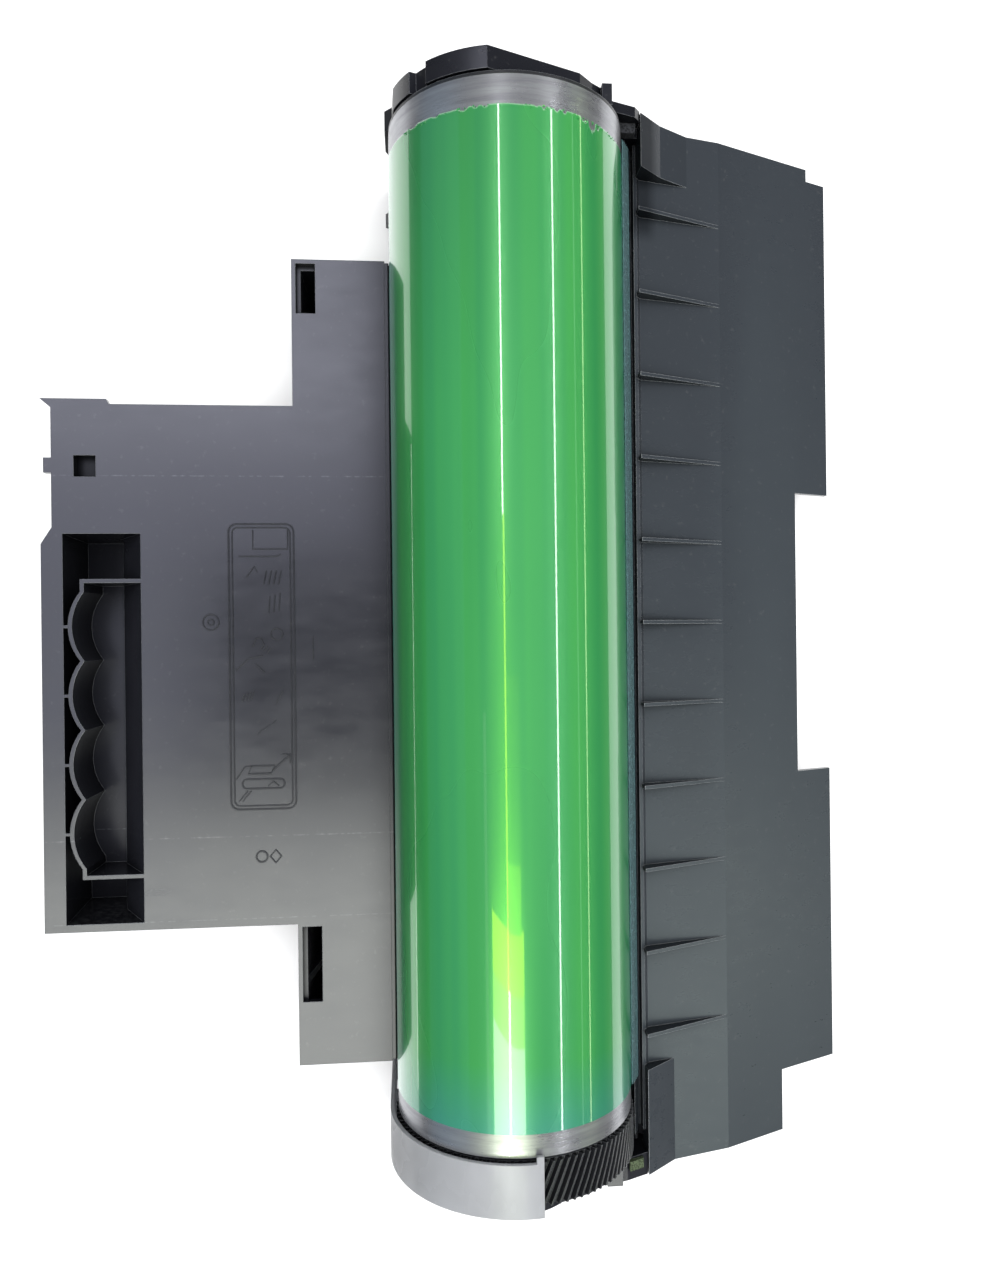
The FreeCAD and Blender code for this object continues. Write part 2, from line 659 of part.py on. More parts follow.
pad(frame, "rear_bosses", "XZ_Plane", BOSS_RINGS, REAR_INNER - S.boss_length, REAR_INNER)
pad(frame, "drive_bosses", "XZ_Plane", BOSS_RINGS, DRIVE_INNER, DRIVE_INNER + S.boss_length)
cut(frame, "rear_pilots", "XZ_Plane", PILOT_RINGS, REAR_INNER - S.boss_length, REAR_INNER)
cut(frame, "drive_pilots", "XZ_Plane", PILOT_RINGS, DRIVE_INNER, DRIVE_INNER + S.boss_length)
EXPOSURE = (-S.frame_left - S.exposure_far, -S.frame_left - S.exposure_near)
cut(frame, "exposure_slot", "XY_Plane", [rectangle(
    *EXPOSURE, -S.wing_drive + S.exposure_end, S.wing_rear - S.exposure_end,
)], BASE, FLOOR)
OUTLET = (AUGER_U - S.outlet_width / 2, AUGER_U + S.outlet_width / 2)
OUTLET_DRIVE = TUBE_DRIVE + S.outlet_offset
cut(frame, "waste_outlet", "XY_Plane", [rectangle(
    *OUTLET, OUTLET_DRIVE, OUTLET_DRIVE + S.outlet_length,
)], BASE, FLOOR)

# End plates

UNDER_KNEE = S.knee_level - S.cover_fit
UNDER_NEAR = S.cover_near - S.cover_fit
UNDER_FAR = RIGHT_TOP
PLATE_EDGE = S.cover_left - S.running * 4


def on_cap(angle, radius):
    """A point of the rear end plate's round top, by its angle left of straight up."""
    return -(radius * sine(angle)), radius * cosine(angle)


rear_plate = new_body("rear_end_plate")
pad(rear_plate, "rear_plate", "XZ_Plane", [[
    Corner(-S.frame_left, BASE),
    Corner(S.frame_right, BASE),
    Corner(S.frame_right, UNDER_FAR),
    Corner(S.cover_knee, UNDER_KNEE),
    Corner(PLATE_EDGE, UNDER_NEAR),
    Corner(PLATE_EDGE, S.shelf_level),
    Corner(S.post_right + S.shelf_level, S.shelf_level),
    Corner(S.post_right, S.post_root),
    Corner(S.post_right, S.post_top),
    Corner(S.post_left, S.post_top),
    Corner(S.post_left, S.cap_post_level),
    Corner(S.cap_far, S.cap_far_level),
    Corner(S.cap_near, S.cap_near_level),
    Corner(-S.cap_apex, root(S.cap_radius * S.cap_radius - S.cap_apex * S.cap_apex),
           bow=S.cap_radius),
    Corner(*on_cap(S.cap_turn, S.cap_radius)),
    Corner(*on_cap(S.cap_turn + S.cap_slant, S.cap_notch), bow=S.cap_notch),
    Corner(*on_cap(S.cap_notch_turn - S.cap_slant, S.cap_notch)),
    Corner(*on_cap(S.cap_notch_turn, S.cap_radius), bow=S.cap_radius),
    Corner(*on_cap(S.cap_end, S.cap_radius)),
    Corner(-S.lug_neck, S.lug_level),
    Corner(-S.lug_left, 0.0),
    Corner(-S.lug_left, -S.lug_drop),
    Corner(-S.frame_left, -S.lug_foot),
]], REAR_INNER, REAR_OUTER)
pad(rear_plate, "corner_wall", "XZ_Plane", [corners(
    (S.post_right, S.shelf_level),
    (PLATE_EDGE, S.shelf_level),
    (PLATE_EDGE, S.corner_low),
    (S.corner_bevel, S.corner_mid),
    (S.post_right, S.corner_high),
)], REAR_OUTER - S.corner_thick, REAR_OUTER)
SHAFT_BORE = Ring(0.0, 0.0, S.shaft_radius)
BUSH_BORE = Ring(AUGER_U, AUGER_W, S.bush_radius)
SCREW_BORES = [Ring(u, S.boss_level, S.screw_radius + S.running) for u in PLATE_SCREWS]
HEAD_BORES = [Ring(u, S.boss_level, S.head_radius + S.clearance) for u in PLATE_SCREWS]
cut(rear_plate, "rear_bores", "XZ_Plane", [SHAFT_BORE, *SCREW_BORES], REAR_INNER, REAR_OUTER)
cut(rear_plate, "rear_bush_bore", "XZ_Plane", [BUSH_BORE],
    REAR_INNER, REAR_INNER + S.bush_length + S.clearance)
cut(rear_plate, "rear_sinks", "XZ_Plane", HEAD_BORES, REAR_OUTER - S.sink, REAR_OUTER)
# Shallow panels of the outer face leave ribs between them, as on a moulding
PANEL_LOOPS = [
    rectangle(-S.panel_1_left, -S.panel_1_right, -S.panel_low, -S.panel_high),
    rectangle(-S.panel_2_left, S.panel_2_right, -S.panel_low, -S.panel_high),
    rectangle(S.panel_3_left, S.panel_3_right, -S.panel_deep, -S.panel_3_high),
    rectangle(S.panel_4_left, S.panel_4_right, -S.panel_deep, -S.panel_4_high),
]
cut(rear_plate, "rear_panels", "XZ_Plane", PANEL_LOOPS, REAR_OUTER - S.panel_depth, REAR_OUTER)

drive_plate = new_body("drive_end_plate")
HUB_MEETS = (S.hub_meet, root(S.hub_radius * S.hub_radius - S.hub_meet * S.hub_meet))
pad(drive_plate, "drive_plate", "XZ_Plane", [[
    Corner(-S.frame_left, BASE),
    Corner(S.frame_right, BASE),
    Corner(S.frame_right, UNDER_FAR),
    Corner(S.cover_knee, UNDER_KNEE),
    Corner(PLATE_EDGE, UNDER_NEAR),
    Corner(PLATE_EDGE, S.ledge_end),
    Corner(S.ledge_start, S.ledge_level),
    Corner(S.catch_right, S.catch_root),
    Corner(S.catch_right, S.catch_top),
    Corner(S.catch_left, S.catch_top),
    Corner(S.catch_left, S.catch_foot),
    Corner(S.catch_start, S.catch_start_level),
    Corner(S.slope_foot, S.slope_level),
    Corner(*HUB_MEETS, bow=S.hub_radius),
    Corner(-S.hub_radius, 0.0),
    Corner(-S.frame_left, -S.lug_start),
]], DRIVE_OUTER, DRIVE_INNER)
pad(drive_plate, "idler_pin", "XZ_Plane", [Ring(IDLER_U, IDLER_W, S.pin_radius)],
    DRIVE_INNER, SPUR_REAR + S.clearance)
cut(drive_plate, "drive_bores", "XZ_Plane", [SHAFT_BORE, *SCREW_BORES], DRIVE_OUTER, DRIVE_INNER)
cut(drive_plate, "drive_bush_bore", "XZ_Plane", [BUSH_BORE],
    DRIVE_INNER - S.bush_length - S.clearance, DRIVE_INNER)
cut(drive_plate, "drive_sinks", "XZ_Plane", HEAD_BORES, DRIVE_OUTER, DRIVE_OUTER + S.sink)
cut(drive_plate, "drive_panels", "XZ_Plane", PANEL_LOOPS, DRIVE_OUTER, DRIVE_OUTER + S.panel_depth)

# Handle cover with its finger pocket

STEP_LEFT = -(S.handle_left - S.handle_step)
INSET = S.skirt_wall
STEP_INSET = INSET / 3
handle = new_body("handle_moulding", whole=False)
pad(handle, "handle_top", "XY_Plane", [corners(
    (-S.plate_near, S.tab_rear),
    (-S.plate_tab, S.tab_rear),
    (-S.plate_tab, S.handle_rear),
    (-S.rear_lip_near, S.handle_rear),
    (-S.rear_lip_near - S.rear_lip_slant, S.handle_rear + S.rear_lip),
    (-S.handle_left, S.handle_rear + S.rear_lip),
    (STEP_LEFT, S.handle_rear - S.rear_lip_foot),
    (STEP_LEFT, S.handle_step_high),
    (-S.handle_left, S.handle_step_low),
    (-S.handle_left, -S.handle_drive),
    (-S.plate_tab, -S.handle_drive),
    (-S.plate_tab, -S.tab_drive),
    (-S.plate_near, -S.tab_drive),
)], PLATE_UNDER, -S.plate_top)
SKIRT_BOTTOM = PLATE_UNDER - S.skirt_depth
pad(handle, "handle_skirt", "XY_Plane", [corners(
    (-S.plate_tab, S.handle_rear),
    (STEP_LEFT, S.handle_rear),
    (STEP_LEFT, S.handle_step_high),
    (-S.handle_left, S.handle_step_low),
    (-S.handle_left, -S.handle_drive),
    (-S.plate_tab, -S.handle_drive),
    (-S.plate_tab, -S.handle_drive + INSET),
    (-S.handle_left + INSET, -S.handle_drive + INSET),
    (-S.handle_left + INSET, S.handle_step_low - STEP_INSET),
    (STEP_LEFT + INSET, S.handle_step_high - STEP_INSET),
    (STEP_LEFT + INSET, S.handle_rear - INSET),
    (-S.plate_tab, S.handle_rear - INSET),
)], SKIRT_BOTTOM, PLATE_UNDER)
pad(handle, "side_nub", "XY_Plane", [rectangle(
    STEP_LEFT - S.nub_reach, STEP_LEFT, S.nub_low, S.nub_high,
)], PLATE_UNDER, -S.plate_top)
RIBS = 3
for count in range(RIBS):
    along = S.handle_rear - (S.handle_rear + S.handle_drive) * ((count + 1) / (RIBS + 1))
    pad(handle, f"under_rib_{count}", "XZ_Plane", [corners(
        (-S.mouth_right + S.pocket_wall, PLATE_UNDER),
        (-S.mouth_right + S.pocket_wall, SKIRT_BOTTOM),
        (-S.plate_tab - S.rib_end, PLATE_UNDER - S.rib_foot),
        (-S.plate_tab - S.rib_end, PLATE_UNDER),
    )], along - S.pocket_wall / 2, along + S.pocket_wall / 2)
POCKET_FLOOR = -S.plate_top - S.pocket_depth
KNEE_DROP = S.pocket_depth / 2
well = corners(
    (-S.mouth_left, -S.plate_top),
    (-S.mouth_left - S.pocket_lean, POCKET_FLOOR),
    (-S.mouth_right - S.pocket_foot, POCKET_FLOOR),
    (-S.mouth_right - S.pocket_knee, -S.plate_top - KNEE_DROP),
    (-S.mouth_right, -S.plate_top),
)
shell = corners(
    (-S.mouth_left - S.pocket_wall, PLATE_UNDER),
    (-S.mouth_left - S.pocket_lean - S.pocket_wall, POCKET_FLOOR - S.pocket_wall),
    (-S.mouth_right - S.pocket_foot + S.pocket_wall, POCKET_FLOOR - S.pocket_wall),
    (-S.mouth_right - S.pocket_knee + S.pocket_wall, -S.plate_top - KNEE_DROP),
    (-S.mouth_right + S.pocket_wall, PLATE_UNDER),
)
pad(handle, "pocket_shell", "XZ_Plane", [shell],
    -S.mouth_drive - S.pocket_wall, S.mouth_rear + S.pocket_wall)
cut(handle, "pocket_well", "XZ_Plane", [well], -S.mouth_drive, S.mouth_rear)


SCALLOPS = 4
SCALLOP_RADIUS = (
    (S.scallop_pitch * S.scallop_pitch / 4 + S.scallop_depth * S.scallop_depth)
    / (S.scallop_depth * 2)
)
SCALLOP_START = -S.scallop_first + S.scallop_pitch / 2
cut(handle, "rear_slot", "XY_Plane", [rectangle(
    -S.plate_tab + S.slot_rim, -S.plate_tab + S.slot_rim + S.slot_width,
    S.tab_rear - S.slot_rim - S.rear_slot, S.tab_rear - S.slot_rim,
)], PLATE_UNDER, -S.plate_top)
cut(handle, "drive_slot", "XY_Plane", [rectangle(
    -S.plate_tab + S.slot_rim, -S.plate_tab + S.slot_rim + S.slot_width,
    -S.drive_slot_end, -S.drive_slot_end + S.drive_slot,
)], PLATE_UNDER, -S.plate_top)
cut(handle, "square_window", "XY_Plane", [rectangle(
    -S.window_left, -S.window_left + S.window,
    S.window_low, S.window_low + S.window,
)], PLATE_UNDER, -S.plate_top)


def scalloped(margin):
    """Outline of the cup seen from above, grown by the margin."""
    left = -S.cup_cusp - margin
    near = -S.mouth_right
    outline = [
        Corner(near, -S.cup_drive - margin),
        Corner(near, S.cup_rear + margin),
        Corner(left, S.cup_rear + margin),
    ]
    for count in range(SCALLOPS):
        outline.append(Corner(left, SCALLOP_START - S.scallop_pitch * count, bow=SCALLOP_RADIUS))
    outline.append(Corner(left, SCALLOP_START - S.scallop_pitch * SCALLOPS))
    outline.append(Corner(left, -S.cup_drive - margin))
    return outline


CUP_FLOOR = -S.plate_top - S.cup_depth
cup = new_body("cup_moulding", whole=False)
pad(cup, "cup_block", "XY_Plane", [scalloped(S.cup_wall / 2)], CUP_FLOOR - S.cup_wall, -S.plate_top)
for count in range(SCALLOPS):
    along = -S.scallop_first - S.scallop_pitch * count
    pad(cup, f"cup_rib_{count}", "XY_Plane", [rectangle(
        -S.mouth_left - S.pocket_wall / 2, -S.cup_cusp - S.scallop_depth,
        along - S.cup_wall / 3, along + S.cup_wall / 3,
    )], -S.plate_top - S.cup_depth, -S.plate_top)
cut(cup, "cup_inside", "XY_Plane", [scalloped(-S.cup_wall / 2)], CUP_FLOOR, -S.plate_top)
cup_space = new_body("cup_space", whole=False)
SEAT = S.pocket_wall / 2
pad(cup_space, "cup_space_pad", "XZ_Plane", [corners(
    (-S.mouth_left - SEAT, -S.plate_top),
    (-S.mouth_left - S.pocket_lean - SEAT, POCKET_FLOOR),
    (-S.mouth_right - S.pocket_foot + SEAT, POCKET_FLOOR),
    (-S.mouth_right - S.pocket_knee + SEAT, -S.plate_top - KNEE_DROP),
    (-S.mouth_right + SEAT, -S.plate_top),
)], -S.mouth_drive, S.mouth_rear)
cup_fitted = doc.addObject("Part::Common", "cup_fitted")
cup_fitted.Base = cup
cup_fitted.Tool = cup_space
handle_cover = doc.addObject("Part::Fuse", "handle_cover")
handle_cover.Label = "handle_cover"
handle_cover.Base = handle
handle_cover.Tool = cup_fitted
PIECES.append(handle_cover)

# Finned cover over the waste trough

COVER_REAR = REAR_OUTER - S.clearance
COVER_DRIVE = DRIVE_OUTER
cover = new_body("waste_cover")


def cover_section(left, right):
    """Section of the cover's plate between two places across, right of the knee."""
    return corners(
        (left, cover_top(left)),
        (left, cover_top(left) - S.cover_thick),
        (right, cover_top(right) - S.cover_thick),
        (right, cover_top(right)),
    )


TABS_DRIVE = COVER_DRIVE + S.cover_setback_drive
pad(cover, "cover_plate", "XZ_Plane", [corners(
    (S.cover_left, S.cover_near),
    (S.cover_left, S.cover_near - S.cover_thick),
    (S.cover_knee, S.knee_level - S.cover_thick),
    (S.frame_right, cover_top(S.frame_right) - S.cover_thick),
    (S.frame_right, cover_top(S.frame_right)),
    (S.cover_knee, S.knee_level),
)], COVER_DRIVE, COVER_REAR)
pad(cover, "cover_middle", "XZ_Plane", [cover_section(S.frame_right, S.cover_notch)],
    TABS_DRIVE, COVER_REAR)
pad(cover, "cover_corner", "XZ_Plane", [cover_section(S.cover_notch, S.cover_step)],
    S.notch_rear, COVER_REAR)
pad(cover, "rear_tab", "XZ_Plane", [cover_section(S.cover_step, S.cover_right)],
    S.notch_rear, COVER_REAR - S.cover_setback_rear)
pad(cover, "drive_tab", "XZ_Plane", [cover_section(S.cover_notch, S.cover_right)],
    TABS_DRIVE, -S.notch_drive)
WEDGE = corners(
    (S.cover_left, S.cover_near),
    (S.wedge_end, S.cover_near + (S.knee_level - S.cover_near)
        * (S.wedge_end - S.cover_left) / (S.cover_knee - S.cover_left)),
    (S.cover_left, S.fin_top),
)
pad(cover, "rear_wedge", "XZ_Plane", [corners(
    (S.cover_left, S.cover_near),
    (S.wedge_rear_end, S.cover_near + (S.knee_level - S.cover_near)
        * (S.wedge_rear_end - S.cover_left) / (S.cover_knee - S.cover_left)),
    (S.cover_left + S.wedge_mid, S.wedge_mid_level),
    (S.cover_left, S.wedge_top),
)], S.wedge_rear, COVER_REAR)
pad(cover, "drive_wedge", "XZ_Plane", [WEDGE], COVER_DRIVE, -S.wedge_drive)
# The near edge turns down into a channel that carries the recovery film
CHANNEL_REAR = REAR_INNER - S.clearance
CHANNEL_DRIVE = SPUR_REAR + S.clearance
FILM_TOP_W = S.film_level
FILM_TOP_U = root(
    (S.drum_radius + S.clearance) * (S.drum_radius + S.clearance) - FILM_TOP_W * FILM_TOP_W
) + S.clearance / 3
FILM_COS = cosine(S.film_slope)
FILM_SIN = sine(S.film_slope)


def film_point(run):
    """A point on the film's back, measured down from its free edge."""
    return FILM_TOP_U + FILM_COS * run, FILM_TOP_W - FILM_SIN * run


FILM_SEAT = film_point(S.film_width * S.film_seat.number)
FILM_END = film_point(S.film_width)
pad(cover, "film_channel", "XZ_Plane", [corners(
    (S.cover_left - S.channel_lap, S.cover_near + S.channel_rise),
    (S.cover_left - S.channel_lap, S.lip_bottom + S.lip_wall),
    (FILM_END[0] + S.channel_fit, S.lip_bottom + S.lip_wall),
    FILM_END,
    FILM_SEAT,
    (FILM_SEAT[0], S.lip_bottom),
    (S.cover_left + S.lip_wall, S.lip_bottom),
    (S.cover_left + S.lip_wall, S.cover_near - S.channel_foot),
    (S.cover_left + S.channel_step, S.cover_near + S.channel_rise),
)], CHANNEL_DRIVE, CHANNEL_REAR)
pad(cover, "fin", "XZ_Plane", [WEDGE[:1] + corners(
    (S.cover_knee, S.knee_level),
    (S.cover_left, S.fin_top),
)], S.fin_first - S.fin_thick / 2, S.fin_first + S.fin_thick / 2)
fin_row = cover.newObject("PartDesign::LinearPattern", "fin_row")
fin_row.Originals = [cover.Tip]
fin_row.Direction = (origin_feature(cover, "Y_Axis"), [""])
fin_row.Reversed = True
bind(fin_row, "Length", S.fin_pitch * (S.fin_count - 1))
bind(fin_row, "Occurrences", S.fin_count)
cover.Tip = fin_row

film = new_body("recovery_film")
FILM_SHIFT = (FILM_SIN * S.film_thick, FILM_COS * S.film_thick)
pad(film, "film_strip", "XZ_Plane", [corners(
    film_point(0.0),
    FILM_END,
    (FILM_END[0] + FILM_SHIFT[0], FILM_END[1] + FILM_SHIFT[1]),
    (FILM_TOP_U + FILM_SHIFT[0], FILM_TOP_W + FILM_SHIFT[1]),
)], TUBE_DRIVE + S.bare_drive / 2, TUBE_REAR)

# Gear guard: a strip round the helical gear, with a leg down to the frame

guard = new_body("gear_guard")
GUARD_BORE = S.guard_radius - S.guard_wall


def on_guard(radius, angle):
    return radius * cosine(angle), radius * sine(angle)


def guard_section(outside, inside, foot):
    """Section of the guard: an arc over the gear and a straight leg to the frame."""
    return [
        Corner(*on_guard(outside, S.guard_end), bow=outside),
        Corner(-outside, 0.0),
        Corner(-outside, foot),
        Corner(-inside, foot),
        Corner(-inside, 0.0, bow=inside, clockwise=True),
        Corner(*on_guard(inside, S.guard_end)),
    ]


pad(guard, "guard_strip", "XZ_Plane",
    [guard_section(S.guard_radius, GUARD_BORE, FLOOR)], GUARD_DRIVE, GUARD_REAR)
pad(guard, "guard_lip", "XZ_Plane",
    [guard_section(GUARD_BORE, GUARD_BORE - S.guard_lip, FLOOR + S.lip_foot)],
    GUARD_DRIVE, GUARD_DRIVE + S.guard_wall)
HOOK_START = S.guard_end + S.hook_turn
pad(guard, "guard_hook", "XZ_Plane", [[
    Corner(*on_guard(S.guard_radius, S.guard_end), bow=S.guard_radius),
    Corner(*on_guard(S.guard_radius, HOOK_START)),
    Corner(*on_guard(GUARD_BORE, HOOK_START), bow=GUARD_BORE, clockwise=True),
    Corner(*on_guard(GUARD_BORE, S.guard_end)),
]], GUARD_REAR, GUARD_REAR + S.guard_hook)

# Drum: tube, coating, flanges and earth plate

sleeve("drum_tube", TUBE_RADIUS, TUBE_BORE, TUBE_DRIVE, TUBE_REAR)
sleeve("photoconductor_coating", S.drum_radius, TUBE_RADIUS,
       TUBE_DRIVE + S.bare_drive, TUBE_REAR - S.bare_rear)

BORE = S.shaft_radius + S.running
GEAR_LAYERS = 2
ADDENDUM, DEDENDUM = 1.0, 1.25
ROOT_SHARE, TIP_SHARE = 0.29, 0.11


def spur_outline(teeth, module):
    """Closed outline of a spur gear with trapezium teeth, in the plane across the drum."""
    pitch = module * teeth / 2
    levels = ((pitch - DEDENDUM * module, ROOT_SHARE), (pitch + ADDENDUM * module, TIP_SHARE))
    points = []
    for tooth in range(int(teeth)):
        middle = 2 * math.pi * tooth / teeth
        for radius, share in (levels[0], levels[1]):
            angle = middle - 2 * math.pi * share / teeth
            points.append(Vector(radius * math.cos(angle), 0, radius * math.sin(angle)))
        for radius, share in (levels[1], levels[0]):
            angle = middle + 2 * math.pi * share / teeth
            points.append(Vector(radius * math.cos(angle), 0, radius * math.sin(angle)))
    return points


def turned(points, angle, level):
    """The points turned about the drum axis and moved along it."""
    turn = Rotation(Vector(0, 1, 0), angle)
    return [turn.multVec(point) + Vector(0, level, 0) for point in points]


def spur_gear(teeth, bore, low, high, start=0.0):
    """A spur gear between two levels, with a bore."""
    outline = turned(spur_outline(teeth, S.spur_module.number), start, low)
    face = Part.Face(Part.makePolygon(outline + outline[:1]))
    return face.extrude(Vector(0, high - low, 0)).cut(barrel(bore, low, high))


def helical_gear(low, high):
    """The drum gear: ruled tooth faces that follow the twist from one end to the other."""
    teeth = int(S.gear_teeth.number)
    tip = S.gear_tip.number
    module = S.gear_depth.number / (ADDENDUM + DEDENDUM)
    outline = spur_outline(teeth, module)
    scale = tip / max(point.Length for point in outline)
    outline = [point * scale for point in outline]
    twist = math.degrees((high - low) * math.tan(math.radians(S.gear_helix.number)) / tip)
    rows = []
    for layer in range(GEAR_LAYERS + 1):
        share = layer / GEAR_LAYERS
        rows.append(turned(outline, twist * share, low + (high - low) * share))
    faces = [Part.Face(Part.makePolygon(row + row[:1])) for row in (rows[0], rows[-1])]
    for below, above in zip(rows, rows[1:]):
        for here in range(len(below)):
            there = (here + 1) % len(below)
            faces.append(Part.makeRuledSurface(
                Part.makeLine(below[here], below[there]),
                Part.makeLine(above[here], above[there])))
    shell = Part.Shell(faces)
    shell.sewShape()
    gear = Part.Solid(shell)
    if gear.Volume < 0:
        gear.reverse()
    return gear


def drive_flange_shape():
    """Plug in the tube, collar, helical gear and small spur gear, in one moulding."""
    bore = BORE.number
    start = TUBE_DRIVE.number
    gear_high = start - S.gear_offset.number
    web = S.flange_web.number
    plug = S.flange_plug.number
    gear_low = gear_high - S.gear_width.number
    spur_low, spur_high = SPUR_DRIVE.number, SPUR_REAR.number
    pitch = S.spur_module.number * S.spur_teeth.number / 2
    body = helical_gear(gear_low, gear_high)
    body = body.fuse(barrel(TUBE_RADIUS.number - S.neck_drop.number, gear_high, start))
    body = body.fuse(barrel(TUBE_BORE.number, start, start + plug))
    body = body.fuse(barrel(pitch - web, spur_high, gear_low))
    body = body.fuse(spur_gear(
        S.spur_teeth.number, bore, spur_low, spur_high, S.train_slope.number))
    hollow = barrel(TUBE_BORE.number - web, start + S.flange_floor.number, start + plug)
    body = body.cut(hollow.cut(barrel(bore + web, start, start + plug)))
    return body.cut(barrel(bore, spur_low - web, start + plug + web)).removeSplitter()


coded("drive_flange", drive_flange_shape())


def rear_flange_shape():
    """Plug in the tube's rear end with a rim against the tube, hollow behind."""
    bore = BORE.number
    start = TUBE_REAR.number
    plug = S.flange_plug.number
    rim = S.flange_rim.number
    web = S.flange_web.number
    deep = S.dish_depth.number
    body = barrel(TUBE_BORE.number, start - plug, start)
    body = body.fuse(barrel(TUBE_RADIUS.number, start, start + rim))
    dish = barrel(TUBE_BORE.number - web, start - deep, start + rim)
    body = body.cut(dish.cut(barrel(bore + web, start - deep, start + rim)))
    return body.cut(barrel(bore, start - plug - web, start + rim + web)).removeSplitter()


coded("rear_flange", rear_flange_shape())
EARTH_SEAT = TUBE_REAR - S.flange_plug
sleeve("earth_plate", TUBE_BORE, BORE, EARTH_SEAT - S.earth_thick, EARTH_SEAT)

# Fixed shaft with its retaining rings

RING_SPACE = S.ring_thick + S.running
shaft = new_body("drum_shaft")
pad(shaft, "shaft_core", "XZ_Plane", [Ring(0.0, 0.0, S.groove_radius)], SHAFT_DRIVE, SHAFT_REAR)
pad(shaft, "shaft_middle", "XZ_Plane", [Ring(0.0, 0.0, S.shaft_radius)], DRIVE_OUTER, REAR_OUTER)
pad(shaft, "journal_rear", "XZ_Plane", [Ring(0.0, 0.0, S.journal_radius)],
    REAR_OUTER + RING_SPACE, SHAFT_REAR)
pad(shaft, "journal_drive", "XZ_Plane", [Ring(0.0, 0.0, S.journal_radius)],
    SHAFT_DRIVE, DRIVE_OUTER - RING_SPACE)


def shaft_rings():
    """Two open retaining rings in the shaft's grooves, one against each end plate."""
    rings = []
    thick = S.ring_thick.number
    radius = S.groove_radius.number
    reach = S.ring_radius.number
    for low in (REAR_OUTER.number, DRIVE_OUTER.number - thick):
        ring = barrel(reach, low, low + thick)
        ring = ring.cut(barrel(radius, low, low + thick))
        opening = radius * S.mouth_share.number
        mouth = Part.makeBox(opening, thick, reach, Vector(-opening / 2, low, -reach))
        rings.append(ring.cut(mouth))
    return Part.makeCompound(rings)


coded("shaft_retaining_rings", shaft_rings())

# Charge roller, its bearings and springs, drawn straight below the drum and then turned

TILT = Rotation(Vector(0, 1, 0), S.charge_tilt.number)
CHARGE_U = -(CHARGE_REACH * sine(S.charge_tilt))
CHARGE_W = -(CHARGE_REACH * cosine(S.charge_tilt))
CORE_END = BEARING_FAR + S.core_reach
core = rod("charge_roller_core", S.charge_core, -CORE_END, CORE_END, CHARGE_U, CHARGE_W)
core.Label = "charge_roller_core"
PIECES.append(core)
sleeve("charge_roller_rubber", S.charge_radius, S.charge_core,
       -CHARGE_HALF, CHARGE_HALF, CHARGE_U, CHARGE_W)


def charge_bearing(low, high):
    """A square bearing block with a bore for the roller's core."""
    half = S.bearing_half.number
    reach = CHARGE_REACH.number
    under = half - S.seat_gap.number
    top = S.charge_core.number + S.bearing_cap.number
    block = Part.makeBox(2 * half, high - low, under + top)
    block.translate(Vector(-half, low, -reach - under))
    return block.cut(barrel(S.charge_core.number + S.running.number, low, high, 0, -reach))


def coil(radius, wire, length, turns, foot, along):
    """A compression spring that stands on its foot."""
    helix = Part.makeHelix((length - 2 * wire) / turns, length - 2 * wire, radius)
    start = Vector(0, along, foot + wire)
    helix.translate(start)
    section = Part.makeCircle(wire, start + Vector(radius, 0, 0), Vector(0, 1, 0))
    return Part.Wire(helix).makePipeShell([Part.Wire(section)], True, True)


SPRING_TURNS = 3
for side, low, high in (
    ("rear", BEARING_NEAR.number, BEARING_FAR.number),
    ("drive", -BEARING_FAR.number, -BEARING_NEAR.number),
):
    coded(f"charge_bearing_{side}", charge_bearing(low, high), turn=TILT)
    coded(f"charge_spring_{side}", coil(
        S.spring_radius.number, S.spring_wire.number, S.spring_length.number,
        SPRING_TURNS, GUIDE_SEAT.number, (low + high) / 2,
    ), turn=TILT)

# Waste auger with its gear, the idler and the bushes

AUGER_REAR = REAR_INNER + S.bush_length
AUGER_DRIVE = DRIVE_INNER - S.bush_length
FLIGHT_REAR = REAR_INNER - S.wall * 2
FLIGHT_DRIVE = SPUR_REAR + S.wall


def auger_shape():
    """The auger's shaft with one helical flight."""
    core_radius = S.auger_core.number
    tip = S.auger_radius.number
    length = FLIGHT_REAR.number - FLIGHT_DRIVE.number
    thick = S.flight_thick.number
    helix = Part.makeHelix(S.auger_pitch.number, length - thick, core_radius)
    inner = core_radius - S.flight_root.number
    section = Part.makePolygon([
        Vector(inner, 0, 0), Vector(tip, 0, 0), Vector(tip, 0, thick),
        Vector(inner, 0, thick), Vector(inner, 0, 0),
    ])
    flight = Part.Wire(helix).makePipeShell([section], True, True)
    flight.rotate(Vector(0, 0, 0), Vector(1, 0, 0), -90)
    flight.translate(Vector(0, FLIGHT_DRIVE.number, 0))
    return barrel(core_radius, AUGER_DRIVE.number, AUGER_REAR.number).fuse(flight)


coded("waste_auger", auger_shape(), (AUGER_U, ORIGIN, AUGER_W))


def meshed_start(teeth, driver_teeth, driver_start):
    """Turn of a gear whose gap meets its driver's tooth along the sloping train."""
    phase = ((driver_start - S.train_slope.number) * driver_teeth / 360.0) % 1.0
    return S.train_slope.number - 180.0 - (phase + 0.5) * 360.0 / teeth


